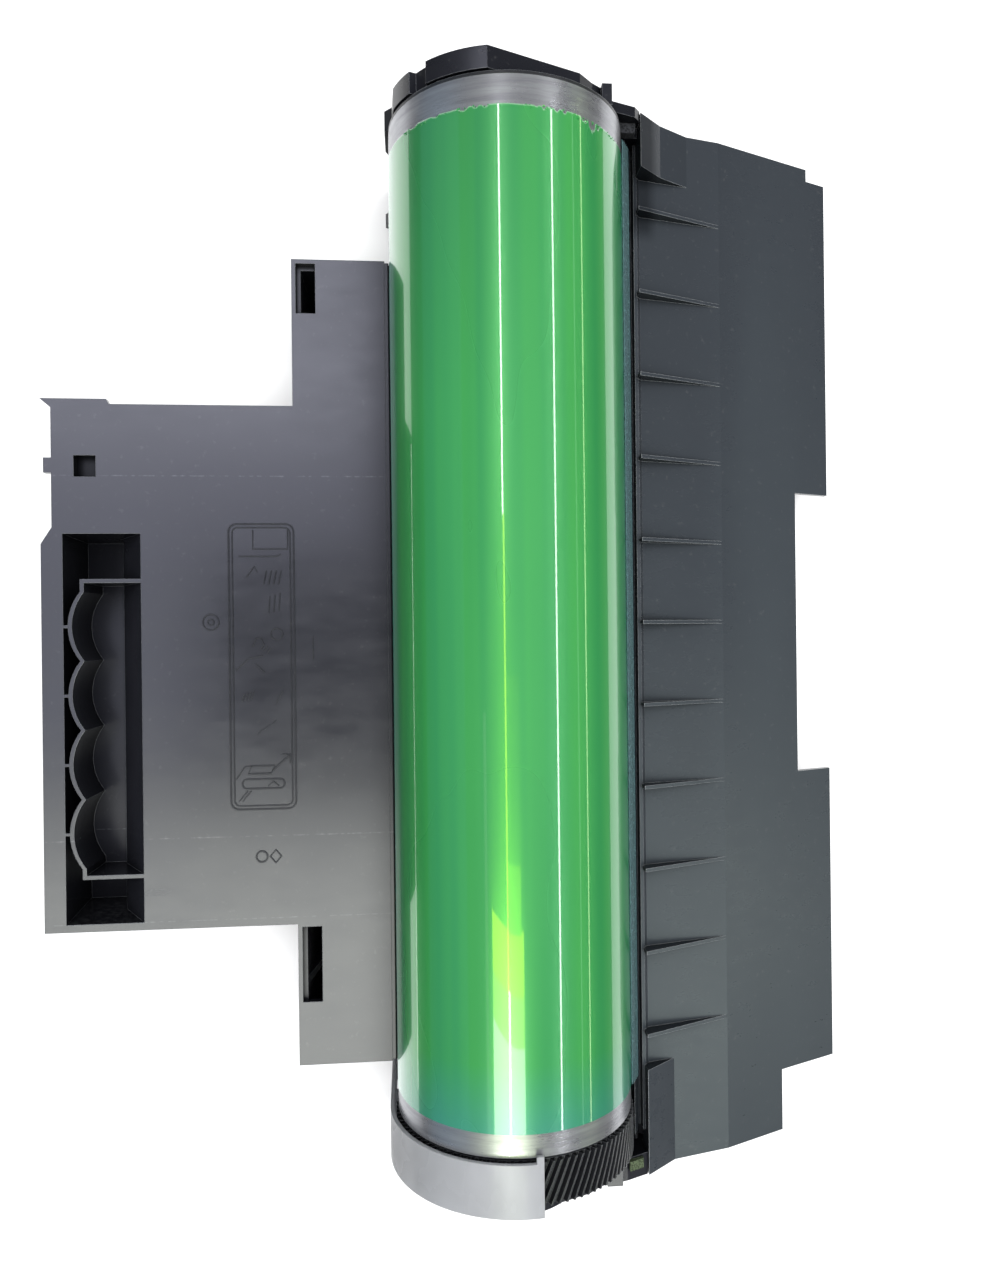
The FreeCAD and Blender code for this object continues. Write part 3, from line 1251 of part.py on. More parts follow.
GEAR_LOW, GEAR_HIGH = SPUR_DRIVE.number, SPUR_REAR.number
IDLER_START = meshed_start(
    S.idler_teeth.number, S.spur_teeth.number, S.train_slope.number)
AUGER_START = meshed_start(
    S.auger_teeth.number, S.idler_teeth.number, IDLER_START)
coded("idler_gear", spur_gear(
    S.idler_teeth.number, S.pin_radius.number + S.running.number,
    GEAR_LOW, GEAR_HIGH, IDLER_START,
), (IDLER_U, ORIGIN, IDLER_W))
coded("auger_gear", spur_gear(
    S.auger_teeth.number, S.auger_core.number, GEAR_LOW, GEAR_HIGH, AUGER_START,
), (AUGER_U, ORIGIN, AUGER_W))


def auger_bushes():
    """Two bushes that carry the auger's shaft in the end plates."""
    bushes = []
    length = S.bush_length.number
    for low in (REAR_INNER.number, DRIVE_INNER.number - length):
        bush = barrel(S.bush_radius.number, low, low + length)
        bushes.append(bush.cut(barrel(
            S.auger_core.number + S.running.number, low, low + length)))
    return Part.makeCompound(bushes)


coded("auger_bushes", auger_bushes(), (AUGER_U, ORIGIN, AUGER_W))

# Cleaning blade on its steel bracket

BLADE_EDGE_U = root(
    (S.drum_radius + S.clearance) * (S.drum_radius + S.clearance)
    - S.blade_level * S.blade_level
) + S.running * 2
blade = new_body("cleaning_blade")
BLADE_ROOT = S.blade_level - S.blade_height
BLADE_BACK = BLADE_EDGE_U + S.blade_thick
pad(blade, "blade_strip", "XZ_Plane", [rectangle(
    BLADE_EDGE_U, BLADE_BACK, BLADE_ROOT, S.blade_level,
)], TUBE_DRIVE + S.bare_drive / 2, TUBE_REAR - S.bare_rear / 2)
bracket = new_body("blade_bracket")
BRACKET_TOP = S.bracket_level + S.bracket_thick
pad(bracket, "bracket_section", "XZ_Plane", [corners(
    (BLADE_BACK, S.bracket_level),
    (S.bracket_right, S.bracket_level),
    (S.bracket_right, BRACKET_TOP),
    (BLADE_BACK + S.bracket_thick, BRACKET_TOP),
    (BLADE_BACK + S.bracket_thick, S.blade_level - S.bracket_drop),
    (BLADE_BACK, S.blade_level - S.bracket_drop),
)], SPUR_REAR + S.wall, REAR_INNER - S.clearance)
cut(bracket, "bracket_holes", "XY_Plane", [
    Ring(BLADE_SCREW_U, S.tube_length * share, S.screw_radius + S.running)
    for share in BLADE_SCREWS
], S.bracket_level, BRACKET_TOP)


def screw(length, inward, head_at):
    """A pan-head screw from its head's seat, pointing along a direction."""
    radius = S.screw_radius.number
    shank = Part.makeCylinder(radius, length, head_at, inward)
    head = Part.makeCylinder(S.head_radius.number, S.head_height.number, head_at, -inward)
    rim = [edge for edge in head.Edges if edge.Closed and
           (edge.CenterOfMass - head_at).Length > S.head_height.number / 2]
    head = head.makeFillet(S.head_height.number / 2 - S.running.number, rim)
    width = S.recess_width.number
    deep = S.recess_depth.number
    recess = Part.makeBox(radius * 2, width, deep, Vector(-radius, -width / 2, -deep))
    turn = Rotation(Vector(0, 0, 1), -inward)
    recess.Placement = Placement(
        head_at - inward * S.head_height.number, turn).multiply(recess.Placement)
    return shank.fuse(head).cut(recess)


def blade_screws():
    """Three pan-head screws through the blade's bracket into the frame's bosses."""
    return Part.makeCompound([
        screw(S.boss_length.number, Vector(0, 0, -1), Vector(
            BLADE_SCREW_U.number, S.tube_length.number * share, BRACKET_TOP.number))
        for share in BLADE_SCREWS
    ])


def plate_screws():
    """Three pan-head screws through each end plate into the frame's bosses."""
    screws = []
    length = S.plate_screw_length.number
    for across in PLATE_SCREWS:
        level = S.boss_level.number
        rear_seat = Vector(across.number, REAR_OUTER.number - S.sink.number, level)
        drive_seat = Vector(across.number, DRIVE_OUTER.number + S.sink.number, level)
        screws.append(screw(length, Vector(0, -1, 0), rear_seat))
        screws.append(screw(length, Vector(0, 1, 0), drive_seat))
    return Part.makeCompound(screws)


coded("blade_screws", blade_screws())
coded("end_plate_screws", plate_screws())

# Foam pads, charge contact and memory chip board

def block(label, across, along, up):
    """A plain block bound to the sheet, between two places each way."""
    piece = doc.addObject("Part::Box", label)
    piece.Label = label
    spans = [(as_size(low), as_size(high)) for low, high in (across, along, up)]
    for prop, (low, high) in zip(("Length", "Width", "Height"), spans):
        bind(piece, prop, high - low)
    settle(piece, tuple(low for low, high in spans))
    PIECES.append(piece)
    return piece


block("foam_seal_rear",
      (S.post_right + S.shelf_level * 2, PLATE_EDGE - S.pad_margin * 2),
      (REAR_INNER, REAR_OUTER - S.corner_thick),
      (S.shelf_level, S.shelf_level + S.pad_height))
block("memory_chip_board",
      (S.frame_right, S.frame_right + S.board_thick),
      (S.board_low, S.board_high),
      (FLOOR + S.board_base, FLOOR + S.board_base + S.board_height))


def foam_drive_shape():
    """A small foam pad on the sloping top of the drive end plate."""
    margin = S.pad_margin.number
    high = DRIVE_INNER.number - margin
    low = high - S.pad_height.number
    left = S.ledge_start.number + margin
    right = PLATE_EDGE.number - margin * 3
    slope = (S.ledge_end.number - S.ledge_level.number) / (
        PLATE_EDGE.number - S.ledge_start.number)
    levels = [S.ledge_level.number + slope * (u - S.ledge_start.number) for u in (left, right)]
    thick = S.pad_height.number / 2
    face = Part.Face(Part.makePolygon([
        Vector(left, low, levels[0]), Vector(right, low, levels[1]),
        Vector(right, low, levels[1] + thick), Vector(left, low, levels[0] + thick),
        Vector(left, low, levels[0]),
    ]))
    return face.extrude(Vector(0, high - low, 0))


coded("foam_seal_drive", foam_drive_shape())


def contact_shape():
    """A folded spring-steel contact from the rear end plate to the roller's core."""
    thick = S.earth_thick.number
    middle = -CHARGE_REACH.number
    start = CORE_END.number + S.running.number
    wide, narrow = S.leaf_width.number, S.arm_width.number
    tall, arm_level = S.leaf_height.number, middle + S.arm_level.number
    foot = middle - S.tip_foot.number
    leaf = Part.makeBox(wide, thick, tall, Vector(-wide / 2, REAR_INNER.number - thick, middle))
    arm = Part.makeBox(narrow, REAR_INNER.number - start, thick, Vector(-narrow / 2, start, arm_level))
    tip = Part.makeBox(narrow, thick, arm_level + thick - foot, Vector(-narrow / 2, start, foot))
    return leaf.fuse(arm).fuse(tip).removeSplitter()


coded("charge_contact", contact_shape(), turn=TILT)

# Build, test and write

doc.recompute()
faults = [o.Name for o in doc.Objects if {"Invalid", "Error"} & set(o.State)]
for piece in PIECES:
    if piece.Shape.isNull() or not piece.Shape.isValid():
        faults.append(piece.Label)
if faults:
    raise SystemExit("faulty: " + ", ".join(faults))
os.makedirs("parts", exist_ok=True)
for piece in PIECES:
    piece.Shape.exportStep(f"parts/{piece.Label}.step")
    box = piece.Shape.BoundBox
    print(f"{piece.Label:26s} solids {len(piece.Shape.Solids)} volume {piece.Shape.Volume:10.1f}"
          f" x {box.XMin:7.1f} {box.XMax:7.1f} y {box.YMin:7.1f} {box.YMax:7.1f}"
          f" z {box.ZMin:6.1f} {box.ZMax:6.1f}")
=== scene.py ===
"""Looks of a printer drum unit seen from above, on a pale table in soft studio light.

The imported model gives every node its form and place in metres, with Z up, Y along the
drum towards its rear end and X from the handle towards the finned cover. This script
dresses it: the ragged photoconductor coating, the raised marks on the handle cover, the
finish of every surface, the lights and the camera.
"""

import json
import logging
import math
import random
from dataclasses import dataclass, field
from enum import Enum

import bpy
from mathutils import Matrix, Vector


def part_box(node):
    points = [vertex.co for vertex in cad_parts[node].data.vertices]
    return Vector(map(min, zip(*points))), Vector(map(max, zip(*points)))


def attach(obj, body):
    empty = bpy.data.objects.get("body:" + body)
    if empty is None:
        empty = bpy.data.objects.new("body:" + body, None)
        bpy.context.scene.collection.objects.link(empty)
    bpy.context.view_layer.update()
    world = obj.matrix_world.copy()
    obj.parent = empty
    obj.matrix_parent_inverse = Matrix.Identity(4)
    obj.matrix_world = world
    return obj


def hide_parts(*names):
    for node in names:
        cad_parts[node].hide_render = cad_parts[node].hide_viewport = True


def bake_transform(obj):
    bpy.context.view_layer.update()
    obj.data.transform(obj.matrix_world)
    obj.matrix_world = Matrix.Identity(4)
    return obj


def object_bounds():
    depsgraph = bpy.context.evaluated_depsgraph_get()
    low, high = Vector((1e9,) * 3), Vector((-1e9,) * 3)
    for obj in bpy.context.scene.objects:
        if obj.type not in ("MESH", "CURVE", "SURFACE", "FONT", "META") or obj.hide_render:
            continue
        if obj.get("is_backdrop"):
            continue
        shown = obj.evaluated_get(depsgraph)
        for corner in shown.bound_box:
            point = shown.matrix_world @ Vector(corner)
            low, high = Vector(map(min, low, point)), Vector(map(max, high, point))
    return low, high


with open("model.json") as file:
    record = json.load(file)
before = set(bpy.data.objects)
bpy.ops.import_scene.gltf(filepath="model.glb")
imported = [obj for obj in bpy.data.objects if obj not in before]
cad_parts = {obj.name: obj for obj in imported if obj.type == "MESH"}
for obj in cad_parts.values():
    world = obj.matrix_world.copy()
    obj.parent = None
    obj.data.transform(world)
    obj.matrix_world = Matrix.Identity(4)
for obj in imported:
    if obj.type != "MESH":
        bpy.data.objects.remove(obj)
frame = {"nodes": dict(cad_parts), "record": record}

log = logging.getLogger("drum_unit")
MM = 0.001
# The drum's axis in the shared frame, in mm
AXIS = Vector((10.75, 7.6, 42.0))
# Where most of a noise pattern's values lie
USUAL = (0.3, 0.7)
BLACK = (0.0, 0.0, 0.0, 1.0)

Socket = bpy.types.NodeSocket
Thing = bpy.types.Object
Material = bpy.types.Material


def at(across: float, along: float, up: float) -> Vector:
    """A point given in mm from the middle of the drum's axis.

    Args:
        across: from the axis towards the finned cover.
        along: along the axis towards the rear end.
        up: above the axis.

    Returns:
        The point in metres in the shared frame.
    """
    return (AXIS + Vector((across, along, up))) * MM


def linear(code: str) -> tuple[float, ...]:
    """Turn an sRGB hex colour into linear light.

    Args:
        code: six hex digits after a hash.

    Returns:
        A tuple of four numbers, the last one for full opacity.
    """
    parts = [int(code[i:i + 2], 16) / 255 for i in (1, 3, 5)]
    curve = [p / 12.92 if p <= 0.04045 else ((p + 0.055) / 1.055) ** 2.4 for p in parts]
    return (*curve, 1.0)


class Step(Enum):
    """A single step in a node tree: node type, its settings, its inputs in order, output."""

    ADD = ("ShaderNodeMath", {"operation": "ADD"}, (0, 1), 0)
    LESS = ("ShaderNodeMath", {"operation": "SUBTRACT"}, (0, 1), 0)
    TIMES = ("ShaderNodeMath", {"operation": "MULTIPLY"}, (0, 1), 0)
    UNSIGNED = ("ShaderNodeMath", {"operation": "ABSOLUTE"}, (0,), 0)
    BELOW = ("ShaderNodeMath", {"operation": "LESS_THAN"}, (0, 1), 0)
    ZIGZAG = ("ShaderNodeMath", {"operation": "PINGPONG"}, (0, 1), 0)
    SINE = ("ShaderNodeMath", {"operation": "SINE"}, (0,), 0)
    COSINE = ("ShaderNodeMath", {"operation": "COSINE"}, (0,), 0)
    MOVE = ("ShaderNodeVectorMath", {"operation": "ADD"}, (0, 1), 0)
    VECTOR = ("ShaderNodeCombineXYZ", {}, (0, 1, 2), 0)
    MIX = ("ShaderNodeMix", {"data_type": "RGBA"}, (0, 6, 7), 2)
    SPAN = ("ShaderNodeMapRange", {}, (0, 1, 2, 3, 4), 0)
    BUMP = ("ShaderNodeBump", {}, ("Height", "Distance", "Strength", "Normal"), 0)


class Graph:
    """Adds nodes to one node tree."""

    def __init__(self, tree: bpy.types.NodeTree) -> None:
        """Take a tree and empty it."""
        self.tree = tree
        tree.nodes.clear()

    def node(self, kind: str, inputs: dict | None = None, **options: object) -> bpy.types.Node:
        """Add one node with its settings and links.

        Args:
            kind: the node's type name.
            inputs: socket name or number to a value or to another node's socket.
            options: attributes of the node itself.

        Returns:
            The new node.
        """
        made = self.tree.nodes.new(kind)
        for name, value in options.items():
            setattr(made, name, value)
        for key, value in (inputs or {}).items():
            socket = made.inputs[key]
            if isinstance(value, Socket):
                self.tree.links.new(value, socket)
            else:
                socket.default_value = value
        return made

    def step(self, step: Step, *values: object) -> Socket:
        """Add one single step.

        Args:
            step: which step.
            values: a value or another node's socket for each input that is set, in order.

        Returns:
            The step's result.
        """
        kind, options, sockets, result = step.value
        return self.node(kind, dict(zip(sockets, values)), **options).outputs[result]


class Surface(Graph):
    """The node tree of one material, with the patterns that several finishes share."""

    # Shares of open sky between which a hollow's colour darkens as painted shade, and between which it
    # loses its shine
    shade_span = (0.15, 0.9)
    shine_span = (0.2, 0.85)
    # How far the rounded normal follows the flat one where the painted edge highlight starts, and where
    # it is full
    highlight_span = (0.94, 0.75)
    # In mm: how softly a corner's two sides end, and half a witness line's width
    corner_fade = (3.0, 2.0)
    line_half = 0.22
    line_gaps = (0.45, 0.7)
    line_share = 0.16

    def place(self, stretch: tuple = (1.0, 1.0, 1.0)) -> Socket:
        """Object coordinates, stretched along each axis."""
        source = self.node("ShaderNodeTexCoord").outputs["Object"]
        return self.node("ShaderNodeMapping", {0: source, 3: stretch}).outputs[0]

    def lumps(self, size_mm: float, stretch: tuple = (1.0, 1.0, 1.0), detail: float = 3.0,
              rough: float = 0.5) -> Socket:
        """An uneven pattern that stays with the piece.

        Args:
            size_mm: how wide its lumps are.
            stretch: a share for each axis; a small one draws the lumps out along it.
            detail: how many finer layers it has.
            rough: how strong each finer layer is.

        Returns:
            The pattern's value.
        """
        made = self.node("ShaderNodeTexNoise", {
            "Vector": self.place(stretch), "Scale": 1 / (size_mm * MM),
            "Detail": detail, "Roughness": rough})
        return made.outputs["Fac"]

    def axes(self) -> bpy.types.NodeOutputs:
        """The place along each axis, in metres, as outputs X, Y and Z."""
        return self.node("ShaderNodeSeparateXYZ", {0: self.place()}).outputs

    def sky(self, reach_mm: float) -> Socket:
        """The share of open sky around each place, within a reach."""
        made = self.node("ShaderNodeAmbientOcclusion", {"Distance": reach_mm * MM}, samples=6)
        return made.outputs["AO"]

    def rounded(self, radius_mm: float, samples: int = 6) -> Socket:
        """The normal with edges rounded by a radius."""
        return self.node("ShaderNodeBevel", {"Radius": radius_mm * MM}, samples=samples).outputs[0]

    def paint_hollow_shade(self, colour: Socket, reach_mm: float, least: float) -> Socket:
        """Darken a colour in hollows as painted shade.

        Args:
            colour: the colour on open faces.
            reach_mm: how near a wall has to stand.
            least: the share of the colour that is left in a deep hollow.

        Returns:
            The new colour.
        """
        share = self.step(Step.SPAN, self.sky(reach_mm), *self.shade_span, 1 - least, 0.0)
        return self.step(Step.MIX, share, colour, BLACK)

    def openness(self, reach_mm: float, least: float, most: float) -> Socket:
        """A value that is least deep in a hollow and most on open faces."""
        return self.step(Step.SPAN, self.sky(reach_mm), *self.shine_span, least, most)

    def painted_light_share(self, rounded: Socket, most: float) -> Socket:
        """How much of an edge gets a painted highlight.

        Args:
            rounded: the normal with rounded edges.
            most: the share on the edge itself.

        Returns:
            The share, which is nought on flat faces.
        """
        flat = self.node("ShaderNodeNewGeometry").outputs["Normal"]
        along = self.node("ShaderNodeVectorMath", {0: rounded, 1: flat}, operation="DOT_PRODUCT")
        return self.step(Step.SPAN, along.outputs["Value"], *self.highlight_span, 0.0, most)

    def corner(self, across: float, along: float) -> Socket:
        """How far a place lies on the handle's side of one line and rearwards of another.

        Args:
            across: the first line's place, in mm.
            along: the second line's place along the drum, in mm.

        Returns:
            A share that is one well inside the corner.
        """
        parts = self.axes()
        side, end = self.corner_fade
        left = self.step(Step.SPAN, parts["X"], across * MM, (across + side) * MM, 1.0, 0.0)
        beyond = self.step(Step.SPAN, parts["Y"], (along - end) * MM, (along + end) * MM)
        return self.step(Step.TIMES, left, beyond)

    def witness(self, along: float, pattern: Socket) -> Socket:
        """A faint patchy line across the piece, where two mould inserts meet.

        Args:
            along: the line's place along the drum, in mm.
            pattern: the pattern that breaks it up.

        Returns:
            The line's share.
        """
        off = self.step(Step.UNSIGNED, self.step(Step.LESS, self.axes()["Y"], along * MM))
        line = self.step(Step.SPAN, off, 0.0, self.line_half * MM, 1.0, 0.0)
        patches = self.step(Step.SPAN, pattern, *self.line_gaps, 0.0, self.line_share)
        return self.step(Step.TIMES, line, patches)


def new_material(name: str) -> tuple[Material, Surface]:
    """Make an empty material and its node tree.

    Args:
        name: the material's name, after the real material and how it is made.

    Returns:
        The material and its Surface.
    """
    material = bpy.data.materials.new(name)
    material.use_nodes = True
    return material, Surface(material.node_tree)


class Slot(Enum):
    """Material slots of the record."""

    FRAME = "frame_plastic"
    BLACK = "black_plastic"
    CHARCOAL = "charcoal_plastic"
    MILKY = "milky_plastic"
    FILM = "polyester_film"
    TUBE = "drum_aluminium"
    COATING = "green_coating"
    GEAR = "gear_plastic"
    CONTACT = "contact_metal"
    SHAFT = "shaft_steel"
    SPRING = "spring_steel"
    ROLLER = "roller_rubber"
    BEARING = "bearing_plastic"
    AUGER = "auger_plastic"
    BLADE = "blade_rubber"
    BRACKET = "bracket_steel"
    SCREW = "screw_steel"
    DARK_FOAM = "dark_foam"
    GREEN_FOAM = "green_foam"
    BOARD = "circuit_board"


@dataclass(frozen=True)
class Moulded:
    """Injection-moulded plastic with a spark-eroded grain and a little handling dust.

    The real grain is too fine to show, so it is drawn coarser. Seams are places along the drum
    where mould inserts meet, in mm. A dull corner, matt and darkened as painted shade, is given by
    a place across and one along, in mm, and the outer face by its level. Hollows get painted shade
    and edges a painted highlight.
    """

    name: str
    colour: str
    bright: str
    dust: str = "#8A8A88"
    dust_share: float = 0.1
    dust_mm: float = 1.6
    dust_span: tuple = (0.62, 0.76)
    rough: float = 0.45
    cloud_mm: float = 48.0
    smear_mm: float = 4.0
    smear_stretch: tuple = (0.35, 1.0, 1.0)
    grain_mm: float = 0.35
    grain_depth: float = 0.02
    flow_stretch: tuple = (1.0, 0.25, 1.0)
    edge_mm: float = 0.22
    # The pale colour of the painted edge highlight, also used for the seams
    edge: str = "#A3A7AB"
    edge_share: float = 0.65
    # The share of the colour that the painted shade leaves in a deep hollow
    hollow: float = 0.35
    seams: tuple = ()
    # A corner that is matt and darkened as painted shade, and how dark it gets
    dull_shade: tuple = ()
    corner_shade_share: float = 0.45
    dull_shine: float = 0.2
    shine: float = 0.5
    low_shine: float = 0.08
    reach_mm: float = 14.0
    face_mm: float = 0.0
    face_fade_mm: float = 4.0
    face_shine: float = 0.5

    def tone(self, g: Surface, cloud: Socket, rounded: Socket) -> Socket:
        """The colour, from the melt's clouds to dust, painted highlights on edges, seams, and painted
        shade in hollows and the dull corner.

        Args:
            g: the material's node tree.
            cloud: the pattern that the melt left as it flowed.
            rounded: the normal with rounded edges.

        Returns:
            The colour.
        """
        fine = g.lumps(self.dust_mm, detail=4.0, rough=0.6)
        share = g.step(Step.SPAN, cloud, *USUAL)
        colour = g.step(Step.MIX, share, linear(self.colour), linear(self.bright))
        specks = g.step(Step.SPAN, fine, *self.dust_span, 0.0, self.dust_share)
        colour = g.step(Step.MIX, specks, colour, linear(self.dust))
        # Painted highlight: the edges are mixed towards the pale edge colour
        colour = g.step(Step.MIX, g.painted_light_share(rounded, self.edge_share), colour, linear(self.edge))
        for seam in self.seams:
            colour = g.step(Step.MIX, g.witness(seam, fine), colour, linear(self.edge))
        # Painted shade: the colour darkens in hollows
        colour = g.paint_hollow_shade(colour, self.reach_mm, self.hollow)
        # Painted shade: the colour in the dull corner is darkened towards black
        if self.dull_shade:
            share = g.step(Step.TIMES, g.corner(*self.dull_shade), self.corner_shade_share)
            colour = g.step(Step.MIX, share, colour, BLACK)
        return colour

    def gloss(self, g: Surface) -> Socket:
        """How strongly it mirrors: less in hollows, below the outer face and in a dull corner.

        Args:
            g: the material's node tree.

        Returns:
            The strength.
        """
        shine = g.openness(self.reach_mm, self.low_shine, self.shine)
        if self.face_mm:
            # What lies below the outer face was never rubbed smooth
            low, high = (self.face_mm - self.face_fade_mm) * MM, self.face_mm * MM
            share = g.step(Step.SPAN, g.axes()["Z"], low, high, self.face_shine, 1.0)
            shine = g.step(Step.TIMES, shine, share)
        if self.dull_shade:
            share = g.step(Step.SPAN, g.corner(*self.dull_shade), 0.0, 1.0, 1.0, self.dull_shine)
            shine = g.step(Step.TIMES, shine, share)
        return shine

    def build(self) -> Material:
        """Make the material.

        Returns:
            The finished material.
        """
        material, g = new_material(self.name)
        cloud = g.lumps(self.cloud_mm, self.flow_stretch, 2.0, 0.45)
        smear = g.lumps(self.smear_mm, self.smear_stretch, 4.0, 0.6)
        handled = g.step(Step.ADD, cloud, g.step(Step.TIMES, smear, 0.8))
        rough = g.step(Step.SPAN, handled, 0.6, 1.2, self.rough - 0.05, self.rough + 0.08)
        rounded = g.rounded(self.edge_mm)
        grain = g.lumps(self.grain_mm, detail=2.0)
        normal = g.step(Step.BUMP, grain, self.grain_depth * MM, 0.6, rounded)
        shader = g.node("ShaderNodeBsdfPrincipled", {
            "Base Color": self.tone(g, cloud, rounded), "Roughness": rough, "IOR": 1.5,
            "Normal": normal, "Specular IOR Level": self.gloss(g)})
        g.node("ShaderNodeOutputMaterial", {0: shader.outputs[0]})
        return material


@dataclass(frozen=True)
class Metal:
    """Metal with lines left by turning, drawing or rolling, drawn coarser so that they show."""

    name: str
    colour: str
    dark: str
    rough: float = 0.3
    line_mm: float = 0.12
    line_stretch: tuple = (0.05, 1.0, 0.05)
    line_depth: float = 0.004
    broad: int = 9
    stain_mm: float = 9.0
    anisotropy: float = 0.5
    metallic: float = 1.0
    edge_mm: float = 0.15

    def build(self) -> Material:
        """Make the material.

        Returns:
            The finished material.
        """
        material, g = new_material(self.name)
        lines = g.lumps(self.line_mm, self.line_stretch, 3.0, 0.6)
        broad = g.lumps(self.line_mm * self.broad, self.line_stretch, 2.0, 0.5)
        stain = g.lumps(self.stain_mm, detail=4.0)
        drawn = g.step(Step.ADD, broad, g.step(Step.TIMES, lines, 0.5))
        share = g.step(Step.SPAN, drawn, 0.55, 0.95)
        colour = g.step(Step.MIX, share, linear(self.colour), linear(self.dark))
        touched = g.step(Step.ADD, lines, stain)
        rough = g.step(Step.SPAN, touched, 0.7, 1.3, self.rough * 0.75, self.rough * 1.35)
        rounded = g.rounded(self.edge_mm, 4)
        normal = g.step(Step.BUMP, lines, self.line_depth * MM, 0.5, rounded)
        shader = g.node("ShaderNodeBsdfPrincipled", {
            "Base Color": colour, "Metallic": self.metallic, "Roughness": rough,
            "Anisotropic": self.anisotropy, "Normal": normal})
        g.node("ShaderNodeOutputMaterial", {0: shader.outputs[0]})
        return material


@dataclass(frozen=True)
class Photoconductor:
    """Clear charge-transport layer over a green charge-generation layer on aluminium.

    The thin start of the dip and the painted shade on the handle's side of the far end are given
    by where they begin and end, and the ripple of the drawn layer shows only in what the clear
    layer mirrors.
    """

    name: str = "organic_photoconductor_dip_coated"
    colour: str = "#3FA04C"
    deep: str = "#2F8F4E"
    edge: str = "#2F9C86"
    thin: str = "#3C8C80"
    # The darker green of the painted shade on the handle's side of the far end
    dull_shade: str = "#2C7247"
    rim: str = "#B9D8BE"
    rough: float = 0.028
    band_mm: float = 7.0
    haze_mm: float = 60.0
    blotch_mm: float = 9.0
    ripple_mm: float = 2.2
    ripple_depth: float = 0.004
    dip_mm: tuple = (-110.5, -95.0)
    # Where the painted shade on the handle's side begins and is full, along and across, in mm
    shade_along_mm: tuple = (55.0, 125.0)
    shade_across_mm: tuple = (22.0, -12.0)

    def build(self) -> Material:
        """Make the material.

        Returns:
            The finished material.
        """
        material, g = new_material(self.name)
        bands = g.lumps(self.band_mm, (1.0, 0.01, 1.0), 2.0)
        haze = g.lumps(self.haze_mm, (1.0, 0.4, 1.0), 3.0)
        blotch = g.lumps(self.blotch_mm, (1.0, 0.25, 1.0), 3.0)
        share = g.step(Step.SPAN, bands, 0.35, 0.65)
        colour = g.step(Step.MIX, share, linear(self.colour), linear(self.deep))
        # The layer runs thin where the tube entered the bath, and towards the far end its handle's side
        # is darkened as painted shade
        parts = g.axes()
        start = g.step(Step.SPAN, parts["Y"], *(mm * MM for mm in self.dip_mm), 0.75, 0.0)
        colour = g.step(Step.MIX, start, colour, linear(self.thin))
        # Painted shade: the handle's side of the far end is darkened
        far = g.step(Step.SPAN, parts["Y"], *(mm * MM for mm in self.shade_along_mm))
        side = g.step(Step.SPAN, parts["X"], *(mm * MM for mm in self.shade_across_mm))
        painted_light_share = g.step(Step.TIMES, g.step(Step.TIMES, far, side), 0.6)
        colour = g.step(Step.MIX, painted_light_share, colour, linear(self.dull_shade))
        lifted = g.node("ShaderNodeAttribute", attribute_name="rim").outputs["Fac"]
        colour = g.step(Step.MIX, g.step(Step.TIMES, lifted, 0.7), colour, linear(self.rim))
        ripple = g.lumps(self.ripple_mm, (1.0, 0.006, 1.0), 1.0)
        patches = g.step(Step.SPAN, blotch, 0.25, 0.85, 0.0, 0.3)
        colour = g.step(Step.MIX, patches, colour, linear(self.deep))
        rough = g.step(Step.SPAN, haze, *USUAL, 0.24, 0.34)
        normal = g.step(Step.BUMP, ripple, self.ripple_depth * MM, 0.07)
        shader = g.node("ShaderNodeBsdfPrincipled", {
            "Base Color": colour, "Metallic": 0.25, "Roughness": rough, "IOR": 1.6,
            "Coat Weight": 1.0, "Coat Roughness": self.rough, "Coat IOR": 1.62,
            "Coat Normal": normal, "Sheen Weight": 0.25, "Sheen Roughness": 0.35,
            "Sheen Tint": linear(self.edge)})
        g.node("ShaderNodeOutputMaterial", {0: shader.outputs[0]})
        return material


@dataclass(frozen=True)
class Milky:
    """Natural, unfilled plastic moulded thin enough to let light through."""

    name: str
    colour: str
    stain: str = "#A9ABAE"
    rough: float = 0.24
    through: float = 0.45
    wall_mm: float = 2.0
    edge_mm: float = 0.25
    cloud_mm: float = 7.0
    grain_mm: float = 0.6

    def build(self) -> Material:
        """Make the material.

        Returns:
            The finished material.
        """
        material, g = new_material(self.name)
        cloud = g.lumps(self.cloud_mm, (1.0, 0.5, 0.3), 4.0)
        fine = g.lumps(self.grain_mm, detail=2.0)
        share = g.step(Step.SPAN, cloud, *USUAL, 0.0, 0.35)
        colour = g.step(Step.MIX, share, linear(self.colour), linear(self.stain))
        rounded = g.rounded(self.edge_mm)
        normal = g.step(Step.BUMP, fine, 0.015 * MM, 0.3, rounded)
        rough = g.step(Step.SPAN, cloud, *USUAL, self.rough - 0.06, self.rough + 0.1)
        shell = g.node("ShaderNodeBsdfPrincipled", {
            "Base Color": colour, "Roughness": rough, "IOR": 1.5, "Normal": normal,
            "Subsurface Weight": 0.35, "Subsurface Radius": (1.0, 1.0, 1.0),
            "Subsurface Scale": self.wall_mm * MM})
        glow = g.node("ShaderNodeBsdfTranslucent", {"Color": linear(self.colour), "Normal": normal})
        mixed = g.node("ShaderNodeMixShader", {
            0: self.through, 1: shell.outputs[0], 2: glow.outputs[0]})
        g.node("ShaderNodeOutputMaterial", {0: mixed.outputs[0]})
        return material


